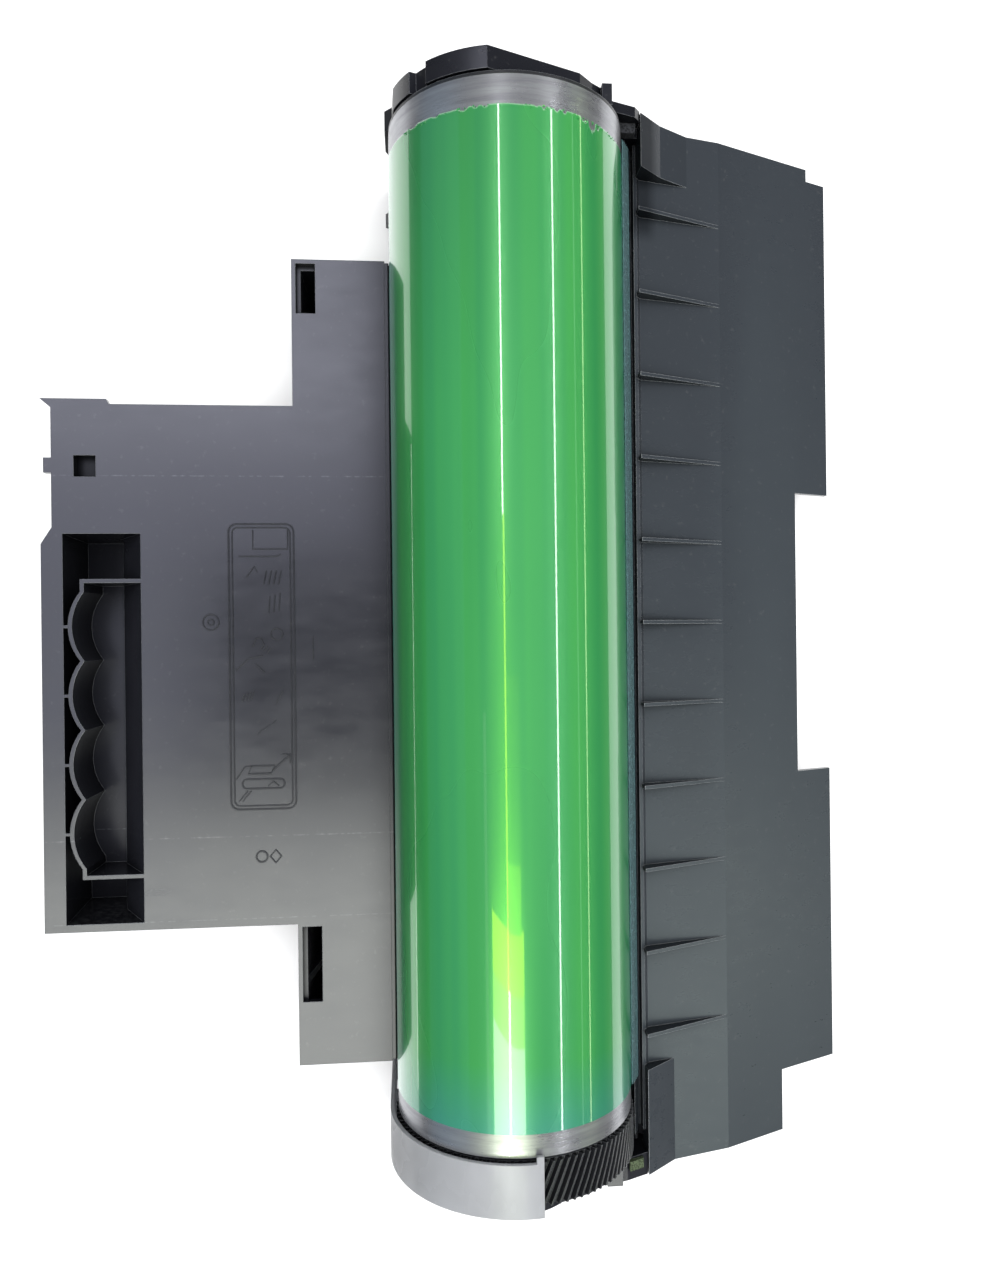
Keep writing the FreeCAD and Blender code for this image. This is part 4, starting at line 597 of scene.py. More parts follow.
@dataclass(frozen=True)
class Film:
    """Thin polyester film, cut from a roll."""

    name: str
    colour: str
    clear: str = "#C9D6E2"
    wave_mm: float = 26.0
    wave_depth: float = 0.4
    dust_mm: float = 1.2

    def build(self) -> Material:
        """Make the material.

        Returns:
            The finished material.
        """
        material, g = new_material(self.name)
        wave = g.lumps(self.wave_mm, (1.0, 0.5, 1.0), 2.0)
        dust = g.lumps(self.dust_mm, detail=5.0, rough=0.65)
        normal = g.step(Step.BUMP, wave, self.wave_depth * MM, 0.5)
        rough = g.step(Step.SPAN, dust, 0.45, 0.7, 0.06, 0.3)
        shine = g.node("ShaderNodeBsdfPrincipled", {
            "Base Color": linear(self.colour), "Roughness": rough, "IOR": 1.6, "Normal": normal})
        clear = g.node("ShaderNodeBsdfTransparent", {"Color": linear(self.clear)})
        share = g.step(Step.SPAN, dust, 0.35, 0.75, 0.5, 0.8)
        mixed = g.node("ShaderNodeMixShader", {0: share, 1: clear.outputs[0], 2: shine.outputs[0]})
        g.node("ShaderNodeOutputMaterial", {0: mixed.outputs[0]})
        return material


@dataclass(frozen=True)
class Foam:
    """Open-cell polyurethane foam, die cut."""

    name: str
    colour: str
    # The colour at the bottom of each cell, painted shade
    cell: str
    cell_mm: float = 0.45
    cell_depth: float = 0.2

    def build(self) -> Material:
        """Make the material.

        Returns:
            The finished material.
        """
        material, g = new_material(self.name)
        cells = g.node("ShaderNodeTexVoronoi", {
            "Vector": g.place(), "Scale": 1 / (self.cell_mm * MM)}, feature="F1")
        depth = g.step(Step.SPAN, cells.outputs["Distance"], 0.1, 0.7)
        # Painted shade: the colour darkens towards the bottom of each cell
        colour = g.step(Step.MIX, depth, linear(self.cell), linear(self.colour))
        normal = g.step(Step.BUMP, depth, self.cell_depth * MM, 1.0)
        shader = g.node("ShaderNodeBsdfPrincipled", {
            "Base Color": colour, "Roughness": 0.95, "IOR": 1.3, "Normal": normal})
        g.node("ShaderNodeOutputMaterial", {0: shader.outputs[0]})
        return material


@dataclass(frozen=True)
class Rubber:
    """Moulded or ground elastomer."""

    name: str
    colour: str
    grind: tuple = (0.2, 1.0, 0.2)
    rough: float = 0.6
    bloom: str = "#6A6A68"
    grind_mm: float = 0.25
    grind_depth: float = 0.02
    bloom_mm: float = 11.0

    def build(self) -> Material:
        """Make the material.

        Returns:
            The finished material.
        """
        material, g = new_material(self.name)
        ground = g.lumps(self.grind_mm, self.grind, 3.0)
        bloom = g.lumps(self.bloom_mm, detail=4.0)
        share = g.step(Step.SPAN, bloom, 0.4, 0.8, 0.0, 0.3)
        colour = g.step(Step.MIX, share, linear(self.colour), linear(self.bloom))
        normal = g.step(Step.BUMP, ground, self.grind_depth * MM, 0.5)
        rough = g.step(Step.SPAN, bloom, *USUAL, self.rough - 0.08, self.rough + 0.12)
        shader = g.node("ShaderNodeBsdfPrincipled", {
            "Base Color": colour, "Roughness": rough, "IOR": 1.5, "Normal": normal})
        g.node("ShaderNodeOutputMaterial", {0: shader.outputs[0]})
        return material


@dataclass(frozen=True)
class Board:
    """Solder mask over glass laminate, with bare contact pads."""

    name: str = "glass_laminate_green_mask"
    colour: str = "#1F5A3C"
    weave: str = "#2B6E4B"
    pad: str = "#C9A24A"
    pitch_mm: float = 3.2
    pad_half_mm: float = 0.55
    pad_level_mm: float = 10.5
    pad_reach_mm: float = 3.0
    weave_mm: float = 0.5
    weave_depth: float = 0.02

    def build(self) -> Material:
        """Make the material.

        Returns:
            The finished material.
        """
        material, g = new_material(self.name)
        parts = g.axes()
        wave = g.step(Step.ZIGZAG, parts["Y"], self.pitch_mm * MM / 2)
        across = g.step(Step.BELOW, wave, self.pad_half_mm * MM)
        height = g.step(Step.UNSIGNED, g.step(Step.LESS, parts["Z"], self.pad_level_mm * MM))
        bare = g.step(Step.TIMES, across, g.step(Step.BELOW, height, self.pad_reach_mm * MM))
        weave = g.lumps(self.weave_mm, (1.0, 1.0, 0.2), 2.0)
        share = g.step(Step.SPAN, weave, *USUAL, 0.0, 0.4)
        mask = g.step(Step.MIX, share, linear(self.colour), linear(self.weave))
        colour = g.step(Step.MIX, bare, mask, linear(self.pad))
        rough = g.step(Step.SPAN, weave, *USUAL, 0.25, 0.4)
        normal = g.step(Step.BUMP, weave, self.weave_depth * MM, 0.4)
        shader = g.node("ShaderNodeBsdfPrincipled", {
            "Base Color": colour, "Metallic": bare, "Roughness": rough, "Normal": normal})
        g.node("ShaderNodeOutputMaterial", {0: shader.outputs[0]})
        return material


# One finish for each material slot
FINISHES = {
    # Filled polystyrene, moulded: near black, satin, with a faint even grain
    Slot.FRAME: Moulded("styrene_frame_moulded", "#17181C", "#1E1F24", rough=0.32, hollow=0.2),
    # Polystyrene end plates, moulded: near black with small soft lights on the edges
    Slot.BLACK: Moulded("styrene_end_plate_moulded", "#17181D", "#202127", rough=0.3),
    # Charcoal polystyrene cover, moulded: dull grain that turns pale at a grazing window, with painted
    # highlights on its edges and painted shade at its rear corner
    Slot.CHARCOAL: Moulded("styrene_cover_moulded", "#31353A", "#363B40", rough=0.27,
                           edge="#BFC3C5", edge_share=0.9, dull_shade=(49.0, 109.0)),
    # Natural polypropylene, moulded thin: milky, glows where light comes through
    Slot.MILKY: Milky("polypropylene_guard_moulded", "#C6C8CB"),
    # Polyester film, slit from a roll: clear and bluish, with dust on it
    Slot.FILM: Film("polyester_film_slit", "#6C8E90"),
    # Aluminium tube, turned: fine rings that spread a light into a broad soft band
    Slot.TUBE: Metal("aluminium_tube_turned", "#A8A9AD", "#8F9095", rough=0.3, metallic=0.75,
                     line_depth=0.003, anisotropy=0.3),
    # Organic photoconductor, dip coated: deep green under a clear layer like a mirror
    Slot.COATING: Photoconductor(),
    # Black acetal gears, moulded: waxy, with light along each tooth's edge
    Slot.GEAR: Moulded("acetal_gear_moulded", "#1E1F22", "#2A2B2F", rough=0.36, grain_mm=0.25),
    # Phosphor bronze, stamped: warm and bright, with lines from the strip's rolling
    Slot.CONTACT: Metal("phosphor_bronze_stamped", "#C8A878", "#8E7450", rough=0.3,
                        line_stretch=(1.0, 1.0, 0.1)),
    # Steel shaft, ground: bright, with rings too fine to tell apart
    Slot.SHAFT: Metal("steel_shaft_ground", "#C4C5C8", "#8B8C90", rough=0.22),
    # Spring steel wire, coiled: grey with one sharp light on each turn
    Slot.SPRING: Metal("steel_wire_coiled", "#A8A9AC", "#6C6D70", rough=0.3),
    # Conductive rubber, ground: black and matt, with a velvety light
    Slot.ROLLER: Rubber("conductive_rubber_ground", "#242424"),
    # Natural acetal bearings, moulded: ivory and waxy
    Slot.BEARING: Moulded("acetal_bearing_moulded", "#D8D6CC", "#E4E2D8", dust_share=0.2),
    # Dark acetal auger, moulded: dulled by the toner it carries
    Slot.AUGER: Moulded("acetal_auger_moulded", "#2B2C30", "#36373C", dust="#55565A"),
    # Polyurethane blade, cast: amber with a smooth cut face
    Slot.BLADE: Rubber("polyurethane_blade_cast", "#B98A4E", (1.0, 0.05, 1.0), 0.35),
    # Zinc-plated steel, folded: cool grey with cloudy rolling lines
    Slot.BRACKET: Metal("zinc_steel_folded", "#B5B7BA", "#85878B", rough=0.35,
                        line_stretch=(1.0, 0.05, 1.0), line_mm=0.3),
    # Zinc-plated screws, rolled: cool and fairly bright
    Slot.SCREW: Metal("zinc_screw_rolled", "#B9BBBE", "#7F8185", rough=0.3),
    # Polyurethane foam, die cut: dark open cells without any shine, with painted shade at the bottom of
    # each cell
    Slot.DARK_FOAM: Foam("polyurethane_foam_dark", "#2C2D30", "#101113"),
    # The same foam in green-grey
    Slot.GREEN_FOAM: Foam("polyurethane_foam_green", "#56624A", "#2A3224"),
    # Glass laminate under solder mask: satin green with gilt pads
    Slot.BOARD: Board(),
}


# Spark-eroded lines of the mould; their colour, darker than the plate around them, is painted shade as
# in grooves, and the window socket's dark inside is the same painted shade
PAINTED_SHADE = Moulded("styrene_painted_shade", "#141519", "#1A1B20", rough=0.3, edge_share=0.2,
               shine=0.22)

# The handle is smoother than the cover and shows where the mould's inserts meet
# Its colour is darker than the cover's as painted shade, though both are the same plastic
HANDLE = Moulded("styrene_handle_moulded", "#1F2025", "#25262C", rough=0.2, dust_share=0.05,
                 grain_depth=0.012, seams=(44.8, -47.6, -68.7), face_mm=37.5)


class Paint:
    """Makes each finish once and puts it on objects."""

    def __init__(self) -> None:
        """Start with no material made."""
        self.made = {}

    def own(self, finish: Moulded) -> Material:
        """Make a finish's material, or find it if it was made before.

        Args:
            finish: any of the finishes above.

        Returns:
            Its material.
        """
        if finish.name not in self.made:
            self.made[finish.name] = finish.build()
        return self.made[finish.name]

    def material(self, slot: Slot) -> Material:
        """The material of a slot."""
        return self.own(FINISHES[slot])

    def coat(self, thing: Thing, slot: Slot) -> None:
        """Give an object one slot's material."""
        thing.data.materials.clear()
        thing.data.materials.append(self.material(slot))

    def coat_frame(self) -> None:
        """Give every CAD node the material of its slot in the record."""
        for part in frame["record"]["subparts"]:
            self.coat(frame["nodes"][part["node"]], Slot(part["material_slot"]))
            log.info("painted %s as %s", part["node"], part["material_slot"])
        handle = frame["nodes"]["handle_cover"].data.materials
        handle.clear()
        handle.append(self.own(HANDLE))


def mesh_object(name: str, points: list, faces: list) -> Thing:
    """Make an object at the origin from points and faces.

    Args:
        name: the object's name.
        points: corner points in metres.
        faces: tuples of point numbers.

    Returns:
        The new object, linked to the scene.
    """
    mesh = bpy.data.meshes.new(name)
    mesh.from_pydata([tuple(p) for p in points], [], faces)
    mesh.validate()
    mesh.update()
    thing = bpy.data.objects.new(name, mesh)
    bpy.context.scene.collection.objects.link(thing)
    return thing


class RepeatTree(Graph):
    """A Geometry Nodes tree that repeats one small form, baked into plain mesh."""

    # Keeps the point numbers of one dice apart from those of the next
    stride = 97.0

    def __init__(self, name: str) -> None:
        """Start a tree that has only its output."""
        super().__init__(bpy.data.node_groups.new(name, "GeometryNodeTree"))
        self.tree.interface.new_socket("Geometry", in_out="OUTPUT", socket_type="NodeSocketGeometry")
        self.source = self.node("NodeGroupInput")
        self.values = {}

    def take(self, name: str, kind: str, value: object) -> Socket:
        """Add a named input.

        Args:
            name: the input's name.
            kind: the socket's type name.
            value: what this tree is baked with.

        Returns:
            The input's socket inside the tree.
        """
        made = self.tree.interface.new_socket(name, in_out="INPUT", socket_type=kind)
        self.values[made.identifier] = value
        return next(s for s in self.source.outputs if s.identifier == made.identifier)

    def dice(self, low: float, high: float, seed: Socket, number: int) -> Socket:
        """A random number for each point.

        Args:
            low: the least it can be.
            high: the most it can be.
            seed: the tree's seed.
            number: which of the tree's dice this is.

        Returns:
            The random number.
        """
        made = self.node("FunctionNodeRandomValue", {2: low, 3: high, "Seed": seed}, data_type="FLOAT")
        made.inputs["ID"].hide = False
        index = self.node("GeometryNodeInputIndex").outputs[0]
        shifted = self.step(Step.ADD, index, self.stride * number)
        self.tree.links.new(shifted, made.inputs["ID"])
        return made.outputs[1]

    def bake(self, name: str, instances: Socket, material: Material) -> Thing:
        """Make the instances real, give them their material and bake them.

        Args:
            name: the new object's name.
            instances: the copies.
            material: what they are made of.

        Returns:
            A new object with a plain mesh.
        """
        finish = self.take("Finish", "NodeSocketMaterial", material)
        solid = self.node("GeometryNodeRealizeInstances", {0: instances})
        dressed = self.node("GeometryNodeSetMaterial", {0: solid.outputs[0], "Material": finish})
        self.node("NodeGroupOutput", {0: dressed.outputs[0]})
        holder = bpy.data.objects.new(name + "_holder", bpy.data.meshes.new(name + "_seed"))
        bpy.context.scene.collection.objects.link(holder)
        modifier = holder.modifiers.new("repeat", "NODES")
        modifier.node_group = self.tree
        for identifier, value in self.values.items():
            modifier[identifier] = value
        shown = holder.evaluated_get(bpy.context.evaluated_depsgraph_get())
        mesh = bpy.data.meshes.new_from_object(shown)
        holder.modifiers.remove(modifier)
        bpy.data.objects.remove(holder)
        mesh.name = name
        thing = bpy.data.objects.new(name, mesh)
        bpy.context.scene.collection.objects.link(thing)
        return thing


@dataclass
class Flakes:
    """Small curled flakes that stand off the tube where the coating has chipped.

    Sizes in mm, angles in degrees from straight up, tilt and turn in radians.
    """

    count: int = 90
    low_angle: float = -60.0
    high_angle: float = 62.0
    size: float = 0.55
    smallest: float = 0.35
    curl: float = 0.5
    sink: float = 0.02
    inset: float = 0.7
    spread: float = 0.5
    tilt: float = 0.12
    turn: float = 6.28
    seed: int = 11

    def build(self, paint: Paint, sleeve: "CoatingSleeve") -> Thing:
        """Make all the flakes as one object that turns with the drum.

        Args:
            paint: the maker of materials.
            sleeve: the coating whose edge they stand on.

        Returns:
            The flakes.
        """
        tree = RepeatTree("flake_repeat")
        seed = tree.take("Seed", "NodeSocketInt", self.seed)
        low, high = math.radians(self.low_angle), math.radians(self.high_angle)
        angle = tree.dice(low, high, seed, 1)
        turn = tree.step(Step.VECTOR, tree.dice(-self.tilt, self.tilt, seed, 3), angle,
                         tree.dice(0.0, self.turn, seed, 4))
        copies = tree.node("GeometryNodeInstanceOnPoints", {
            "Points": self.spots(tree, sleeve.radius, angle, seed), "Instance": self.flake(tree),
            "Rotation": turn, "Scale": tree.dice(self.smallest, 1.0, seed, 5)})
        flakes = tree.bake("coating_flakes", copies.outputs[0], paint.material(Slot.COATING))
        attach(flakes, "drum")
        log.info("built coating_flakes, %d of them", self.count)
        return flakes

    def spots(self, tree: RepeatTree, radius: float, angle: Socket, seed: Socket) -> Socket:
        """Scatter the places where flakes stand.

        Args:
            tree: the tree to add to.
            radius: the coating's radius.
            angle: each flake's angle round the drum.
            seed: the tree's seed.

        Returns:
            One point for each flake.
        """
        low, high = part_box("photoconductor_coating")
        count = tree.take("Count", "NodeSocketInt", self.count)
        reach = tree.take("Radius", "NodeSocketFloat", (radius - self.sink) * MM)
        middle = tree.take("Middle", "NodeSocketVector", (
            (low.x + high.x) / 2, high.y - self.inset * MM, (low.z + high.z) / 2))
        across = tree.step(Step.TIMES, tree.step(Step.SINE, angle), reach)
        up = tree.step(Step.TIMES, tree.step(Step.COSINE, angle), reach)
        along = tree.dice(-self.spread * MM, self.spread * MM, seed, 2)
        place = tree.step(Step.MOVE, tree.step(Step.VECTOR, across, along, up), middle)
        line = tree.node("GeometryNodeMeshLine", {"Count": count})
        points = tree.node("GeometryNodeSetPosition", {0: line.outputs[0], "Position": place})
        return points.outputs[0]

    def flake(self, tree: RepeatTree) -> Socket:
        """Shape one flake, a small square that curls up at two sides.

        Args:
            tree: the tree to add to.

        Returns:
            The flake's mesh.
        """
        size = tree.take("Size", "NodeSocketFloat", self.size * MM)
        flat = tree.node("GeometryNodeMeshGrid", {
            "Size X": size, "Size Y": size, "Vertices X": 4, "Vertices Y": 2})
        place = tree.node("GeometryNodeInputPosition").outputs[0]
        run = tree.node("ShaderNodeSeparateXYZ", {0: place}).outputs[0]
        lift = tree.step(Step.TIMES, tree.step(Step.TIMES, run, run), self.curl / (self.size * MM))
        offset = tree.node("ShaderNodeCombineXYZ", {2: lift}).outputs[0]
        curled = tree.node("GeometryNodeSetPosition", {0: flat.outputs[0], "Offset": offset})
        return curled.outputs[0]


@dataclass(frozen=True)
class Bars:
    """One row of equal bars: place and step across and along, count, length, slant.

    In mm from the drum's axis, with the slant in degrees from the drum's direction.
    """

    across: float
    along: float
    step_across: float
    step_along: float
    count: int
    length: float
    slant: float


@dataclass
class Hatching:
    """Rows of short low bars moulded inside the handle's panel. Sizes in mm."""

    rows: tuple[Bars, ...] = (
        Bars(-62.6, 11.2, 1.25, 0.0, 4, 3.6, 12.0),
        Bars(-61.6, 4.2, 1.3, 0.35, 3, 4.4, 4.0),
        Bars(-68.6, -44.9, 0.9, 0.0, 2, 3.4, 40.0),
        Bars(-63.4, -6.6, 0.8, -0.5, 3, 1.7, 30.0),
        Bars(-68.4, -19.6, 0.8, 0.2, 4, 2.2, 18.0),
        Bars(-64.2, -28.4, 1.7, 1.1, 3, 1.6, 42.0),
    )
    width: float = 0.3
    height: float = 0.14
    level: float = -4.0

    def build(self, paint: Paint) -> list[Thing]:
        """Make all rows."""
        return [self.row(paint, number, bars) for number, bars in enumerate(self.rows)]

    def row(self, paint: Paint, number: int, bars: Bars) -> Thing:
        """Repeat one bar along a line.

        Args:
            paint: the maker of materials.
            number: the row's number, for its name.
            bars: the row.

        Returns:
            The row as one object.
        """
        tree = RepeatTree(f"bar_repeat_{number}")
        count = tree.take("Count", "NodeSocketInt", bars.count)
        start = tree.take("Start", "NodeSocketVector", at(bars.across, bars.along, self.level))
        step = tree.take("Step", "NodeSocketVector", (bars.step_across * MM, bars.step_along * MM, 0.0))
        size = tree.take("Size", "NodeSocketVector", (
            self.width * MM, bars.length * MM, 2 * self.height * MM))
        angle = tree.take("Slant", "NodeSocketFloat", -math.radians(bars.slant))
        line = tree.node("GeometryNodeMeshLine", {
            "Count": count, "Start Location": start, "Offset": step}, mode="OFFSET")
        bar = tree.node("GeometryNodeMeshCube", {"Size": size})
        turn = tree.node("ShaderNodeCombineXYZ", {2: angle})
        copies = tree.node("GeometryNodeInstanceOnPoints", {
            "Points": line.outputs[0], "Instance": bar.outputs[0], "Rotation": turn.outputs[0]})
        # Painted shade: the bars take the darker colour of shaded grooves
        made = tree.bake(f"panel_bars_{number}", copies.outputs[0], paint.own(PAINTED_SHADE))
        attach(made, "frame")
        log.info("built %s, %d bars", made.name, bars.count)
        return made


@dataclass(frozen=True)
class Chip:
    """A bite out of the coating's edge: its middle and width in degrees, its depth in mm."""

    angle: float
    width: float
    depth: float


@dataclass(frozen=True)
class Wave:
    """A wave of the coating's edge: how often round the drum, start in degrees, share."""

    times: int
    start: float
    share: float


@dataclass
class CoatingSleeve:
    """The green coating, dip coated, with a wavy and chipped edge at its rear end.

    Angles are in degrees from straight up towards the finned cover, sizes in mm.
    """

    radius: float = 30.0
    thickness: float = 0.15
    steps: int = 1440
    wave: float = 0.14
    waves: tuple[Wave, ...] = (Wave(9, 0.0, 0.5), Wave(23, 40.0, 0.35))
    wave_base: float = 1.2
    jitter: float = 0.05
    bite_least: float = 0.8
    bite_jitter: float = 0.4
    lift: float = 0.45
    lip: float = 0.12
    bevel: float = 0.05
    sharp: float = 20.0
    # How much each of a section's points is lifted off the tube, from the drive end round
    rim: tuple[float, ...] = (0.0, 0.0, 0.8, 1.0, 1.0, 0.0)
    seed: int = 7
    chips: tuple[Chip, ...] = (
        Chip(-52.0, 6.0, 0.5), Chip(-38.0, 4.0, 0.4), Chip(-24.0, 5.0, 0.6),
        Chip(-18.5, 3.0, 0.45), Chip(-14.0, 3.0, 0.5), Chip(8.5, 1.6, 0.3),
        Chip(12.0, 2.4, 0.6), Chip(18.0, 2.6, 0.5), Chip(22.0, 2.2, 0.7),
        Chip(33.0, 4.2, 1.1), Chip(38.0, 5.2, 2.4), Chip(42.0, 2.4, 1.3), Chip(58.0, 2.0, 0.4),
    )

    def edge(self, angle: float, noise: float) -> float:
        """How far the edge lies in from the rear end.

        Args:
            angle: the place round the drum.
            noise: a random number from 0 to 1.

        Returns:
            The distance in mm.
        """
        height = self.wave_base
        for wave in self.waves:
            height += math.sin(math.radians(angle * wave.times + wave.start)) * wave.share
        bite = 0.0
        for chip in self.chips:
            run = abs((angle - chip.angle + 180) % 360 - 180) / (chip.width / 2)
            if run < 1:
                bite = max(bite, chip.depth * (1 - run ** 3))
        ragged = self.bite_least + self.bite_jitter * noise
        return self.wave * height + bite * ragged + self.jitter * noise

    def build(self, paint: Paint) -> Thing:
        """Make the sleeve.

        Args:
            paint: the maker of materials.

        Returns:
            The sleeve, which replaces the plain coating.
        """
        dice = random.Random(self.seed)
        low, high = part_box("photoconductor_coating")
        middle = Vector(((low.x + high.x) / 2, 0, (low.z + high.z) / 2))
        points = []
        for step in range(self.steps):
            angle = step * 360 / self.steps
            turn = math.radians(angle)
            out = Vector((math.sin(turn), 0, math.cos(turn)))
            rear = high.y - self.edge(angle, dice.random()) * MM
            inner = self.radius - self.thickness
            for radius, along in (
                    (self.radius, low.y), (self.radius, rear - self.lift * MM),
                    (self.radius, rear - self.lip * MM), (self.radius - self.bevel, rear),
                    (inner, rear), (inner, low.y)):
                spot = middle + out * radius * MM
                spot.y = along
                points.append(spot)
        faces = []
        ring = len(self.rim)
        for step in range(self.steps):
            here, there = step * ring, (step + 1) % self.steps * ring
            faces += [(here + i, here + (i + 1) % ring, there + (i + 1) % ring, there + i)
                      for i in range(ring)]
        sleeve = mesh_object("coating_sleeve", points, faces)
        sleeve.data.shade_smooth()
        sleeve.data.set_sharp_from_angle(angle=math.radians(self.sharp))
        rim = sleeve.data.attributes.new("rim", "FLOAT", "POINT")
        rim.data.foreach_set("value", self.rim * self.steps)
        paint.coat(sleeve, Slot.COATING)
        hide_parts("photoconductor_coating")
        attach(sleeve, "drum")
        log.info("built coating_sleeve with %d chips", len(self.chips))
        return sleeve


@dataclass
class Strip:
    """A raised strip along a flat outline, in mm from the drum's axis."""

    path: list[tuple[float, float]]
    width: float
    closed: bool = False

    def outline(self) -> list[tuple]:
        """Widen the path.

        Returns:
            The left and the right point beside each point of the path.
        """
        count = len(self.path)
        sides = []
        for i, (x, y) in enumerate(self.path):
            before = self.path[i - 1] if i or self.closed else self.path[i]
            after = self.path[(i + 1) % count] if i + 1 < count or self.closed else self.path[i]
            run = Vector((after[0] - before[0], after[1] - before[1])).normalized()
            out = Vector((-run.y, run.x)) * self.width / 2
            sides.append(((x + out.x, y + out.y), (x - out.x, y - out.y)))
        return sides


def rounded_frame(left: float, right: float, low: float, high: float, radius: float,
                  steps: int = 6) -> list[tuple[float, float]]:
    """Points of a rectangle with rounded corners, anticlockwise.

    Args:
        left: its edge on the handle's side, in mm, as are the others.
        right: its edge on the drum's side.
        low: its edge at the drive end.
        high: its edge at the rear end.
        radius: the corners' radius.
        steps: how many pieces a corner has.

    Returns:
        The points.
    """
    points = []
    for x, y, start in ((right - radius, high - radius, 0), (left + radius, high - radius, 90),
                        (left + radius, low + radius, 180), (right - radius, low + radius, 270)):
        for i in range(steps + 1):
            turn = math.radians(start + 90 * i / steps)
            points.append((x + radius * math.cos(turn), y + radius * math.sin(turn)))
    return points


def circle(x: float, y: float, radius: float, steps: int = 40) -> list[tuple[float, float]]:
    """Points of a circle round a place, in mm."""
    return [(x + radius * math.cos(2 * math.pi * i / steps),
             y + radius * math.sin(2 * math.pi * i / steps)) for i in range(steps)]


@dataclass
class HandleMarks:
    """Low raised marks moulded on the handle cover: a framed panel, a ring mark and lines.

    Sizes and places are in mm from the drum's axis.
    """

    left: float = -71.7
    right: float = -55.3
    low: float = -48.3
    high: float = 24.9
    corner: float = 2.0
    frame_gap: float = 0.9
    inner_corner: float = 1.4
    level: float = -4.0
    height: float = 0.16
    sink: float = 0.1
    line: float = 0.42
    fine: float = 0.3

    def strips(self) -> list[Strip]:
        """All the raised strips of the panel, the ring mark and the small mark."""
        return [*self.borders(), *self.panel_strokes(), *self.small_mark()]

    def borders(self) -> list[Strip]:
        """The panel's two frames and the ring mark beside it.

        Returns:
            Their strips.
        """
        gap = self.frame_gap
        outer = rounded_frame(self.left, self.right, self.low, self.high, self.corner)
        inner = rounded_frame(self.left + gap, self.right - gap, self.low + gap, self.high - gap,
                              self.inner_corner)
        return [
            Strip(outer, self.line, True),
            Strip(inner, self.fine, True),
            Strip(circle(-76.3, -0.2, 2.0), 0.34, True),
            Strip(circle(-76.3, -0.2, 0.75), self.fine, True),
        ]

    def panel_strokes(self) -> list[Strip]:
        """What stands inside the panel, from the rear end down: outlines, a ring, strokes.

        Returns:
            Their strips.
        """
        return [
            Strip([(-65.6, 23.4), (-65.6, 18.5), (-56.8, 18.5), (-56.8, 23.4)], self.fine),
            Strip([(-69.2, 16.6), (-59.6, 16.6), (-58.6, 17.2)], self.fine),
            Strip([(-67.3, 11.2), (-65.2, 14.1), (-64.6, 12.6)], self.fine),
            Strip(circle(-59.8, -3.4, 1.5, 24), self.fine, True),
            Strip([(-65.9, -6.6), (-65.0, -4.4), (-63.8, -4.3), (-63.0, -6.2)], self.fine),
            Strip([(-70.2, -12.6), (-66.8, -9.6), (-63.4, -8.9)], self.fine),
            Strip([(-65.2, -11.0), (-63.0, -13.2)], self.fine),
            Strip([(-60.2, -21.4), (-58.4, -18.0)], self.fine),
            Strip([(-61.2, -38.4), (-56.9, -34.6)], 0.5),
            Strip([(-58.8, -34.2), (-56.6, -34.3), (-56.8, -36.6)], self.fine),
            Strip([(-67.4, -39.2), (-61.6, -39.2), (-60.6, -37.2), (-66.4, -37.2)], self.line, True),
            Strip([(-70.4, -40.6), (-68.2, -37.4), (-66.4, -37.2)], self.fine),
            Strip(rounded_frame(-68.8, -58.2, -43.0, -40.6, 1.1, 4), self.line, True),
            Strip([(-62.4, -42.4), (-61.0, -41.2), (-59.6, -42.4)], self.fine),
        ]

    def small_mark(self) -> list[Strip]:
        """The ring beside a diamond near the drive end, and the short dash beside the panel.

        Returns:
            Their strips.
        """
        return [
            Strip(circle(-64.1, -60.5, 1.4, 24), self.line, True),
            Strip([(-62.0, -60.5), (-60.6, -58.8), (-59.2, -60.5), (-60.6, -62.2)], self.line, True),
            Strip([(-50.6, -10.0), (-50.6, -4.2)], 0.22),
        ]

    def build(self, paint: Paint) -> Thing:
        """Make all the marks as one object.

        Args:
            paint: the maker of materials.

        Returns:
            The marks.
        """
        points, faces = [], []
        for strip in self.strips():
            sides = strip.outline()
            start = len(points)
            for (ax, ay), (bx, by) in sides:
                for x, y, up in ((ax, ay, -self.sink), (ax, ay, self.height),
                                 (bx, by, self.height), (bx, by, -self.sink)):
                    points.append(at(x, y, self.level + up))
            count = len(sides)
            for i in range(count if strip.closed else count - 1):
                here, there = start + i * 4, start + (i + 1) % count * 4
                faces += [(here, there, there + 1, here + 1),
                          (here + 1, there + 1, there + 2, here + 2),
                          (here + 2, there + 2, there + 3, here + 3)]
            if not strip.closed:
                end = start + (count - 1) * 4
                faces += [(start, start + 1, start + 2, start + 3), (end + 3, end + 2, end + 1, end)]
        marks = mesh_object("handle_marks", points, faces)
        # Painted shade: the marks take the darker colour of shaded grooves
        marks.data.materials.append(paint.own(PAINTED_SHADE))
        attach(marks, "frame")
        log.info("built handle_marks from %d strips", len(self.strips()))
        return marks


@dataclass
class ChargeSprings:
    """The two coil springs below the charge roller, which shorten as it is pushed down."""

    nodes: tuple[str, ...] = ("charge_spring_rear", "charge_spring_drive")

    def build(self, paint: Paint) -> list[Thing]:
        """Make a spring for each node that gives way with the slide."""
        return [self.spring(paint, node) for node in self.nodes]

    def spring(self, paint: Paint, node: str) -> Thing:
        """Copy a node's coil into an object of its own.

        Args:
            paint: the maker of materials.
            node: the CAD node that the spring replaces.

        Returns:
            The coil.
        """
        coil = bpy.data.objects.new(node + "_coil", frame["nodes"][node].data.copy())
        bpy.context.scene.collection.objects.link(coil)
        paint.coat(coil, Slot.SPRING)
        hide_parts(node)
        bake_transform(coil)
        log.info("built %s", coil.name)
        return coil


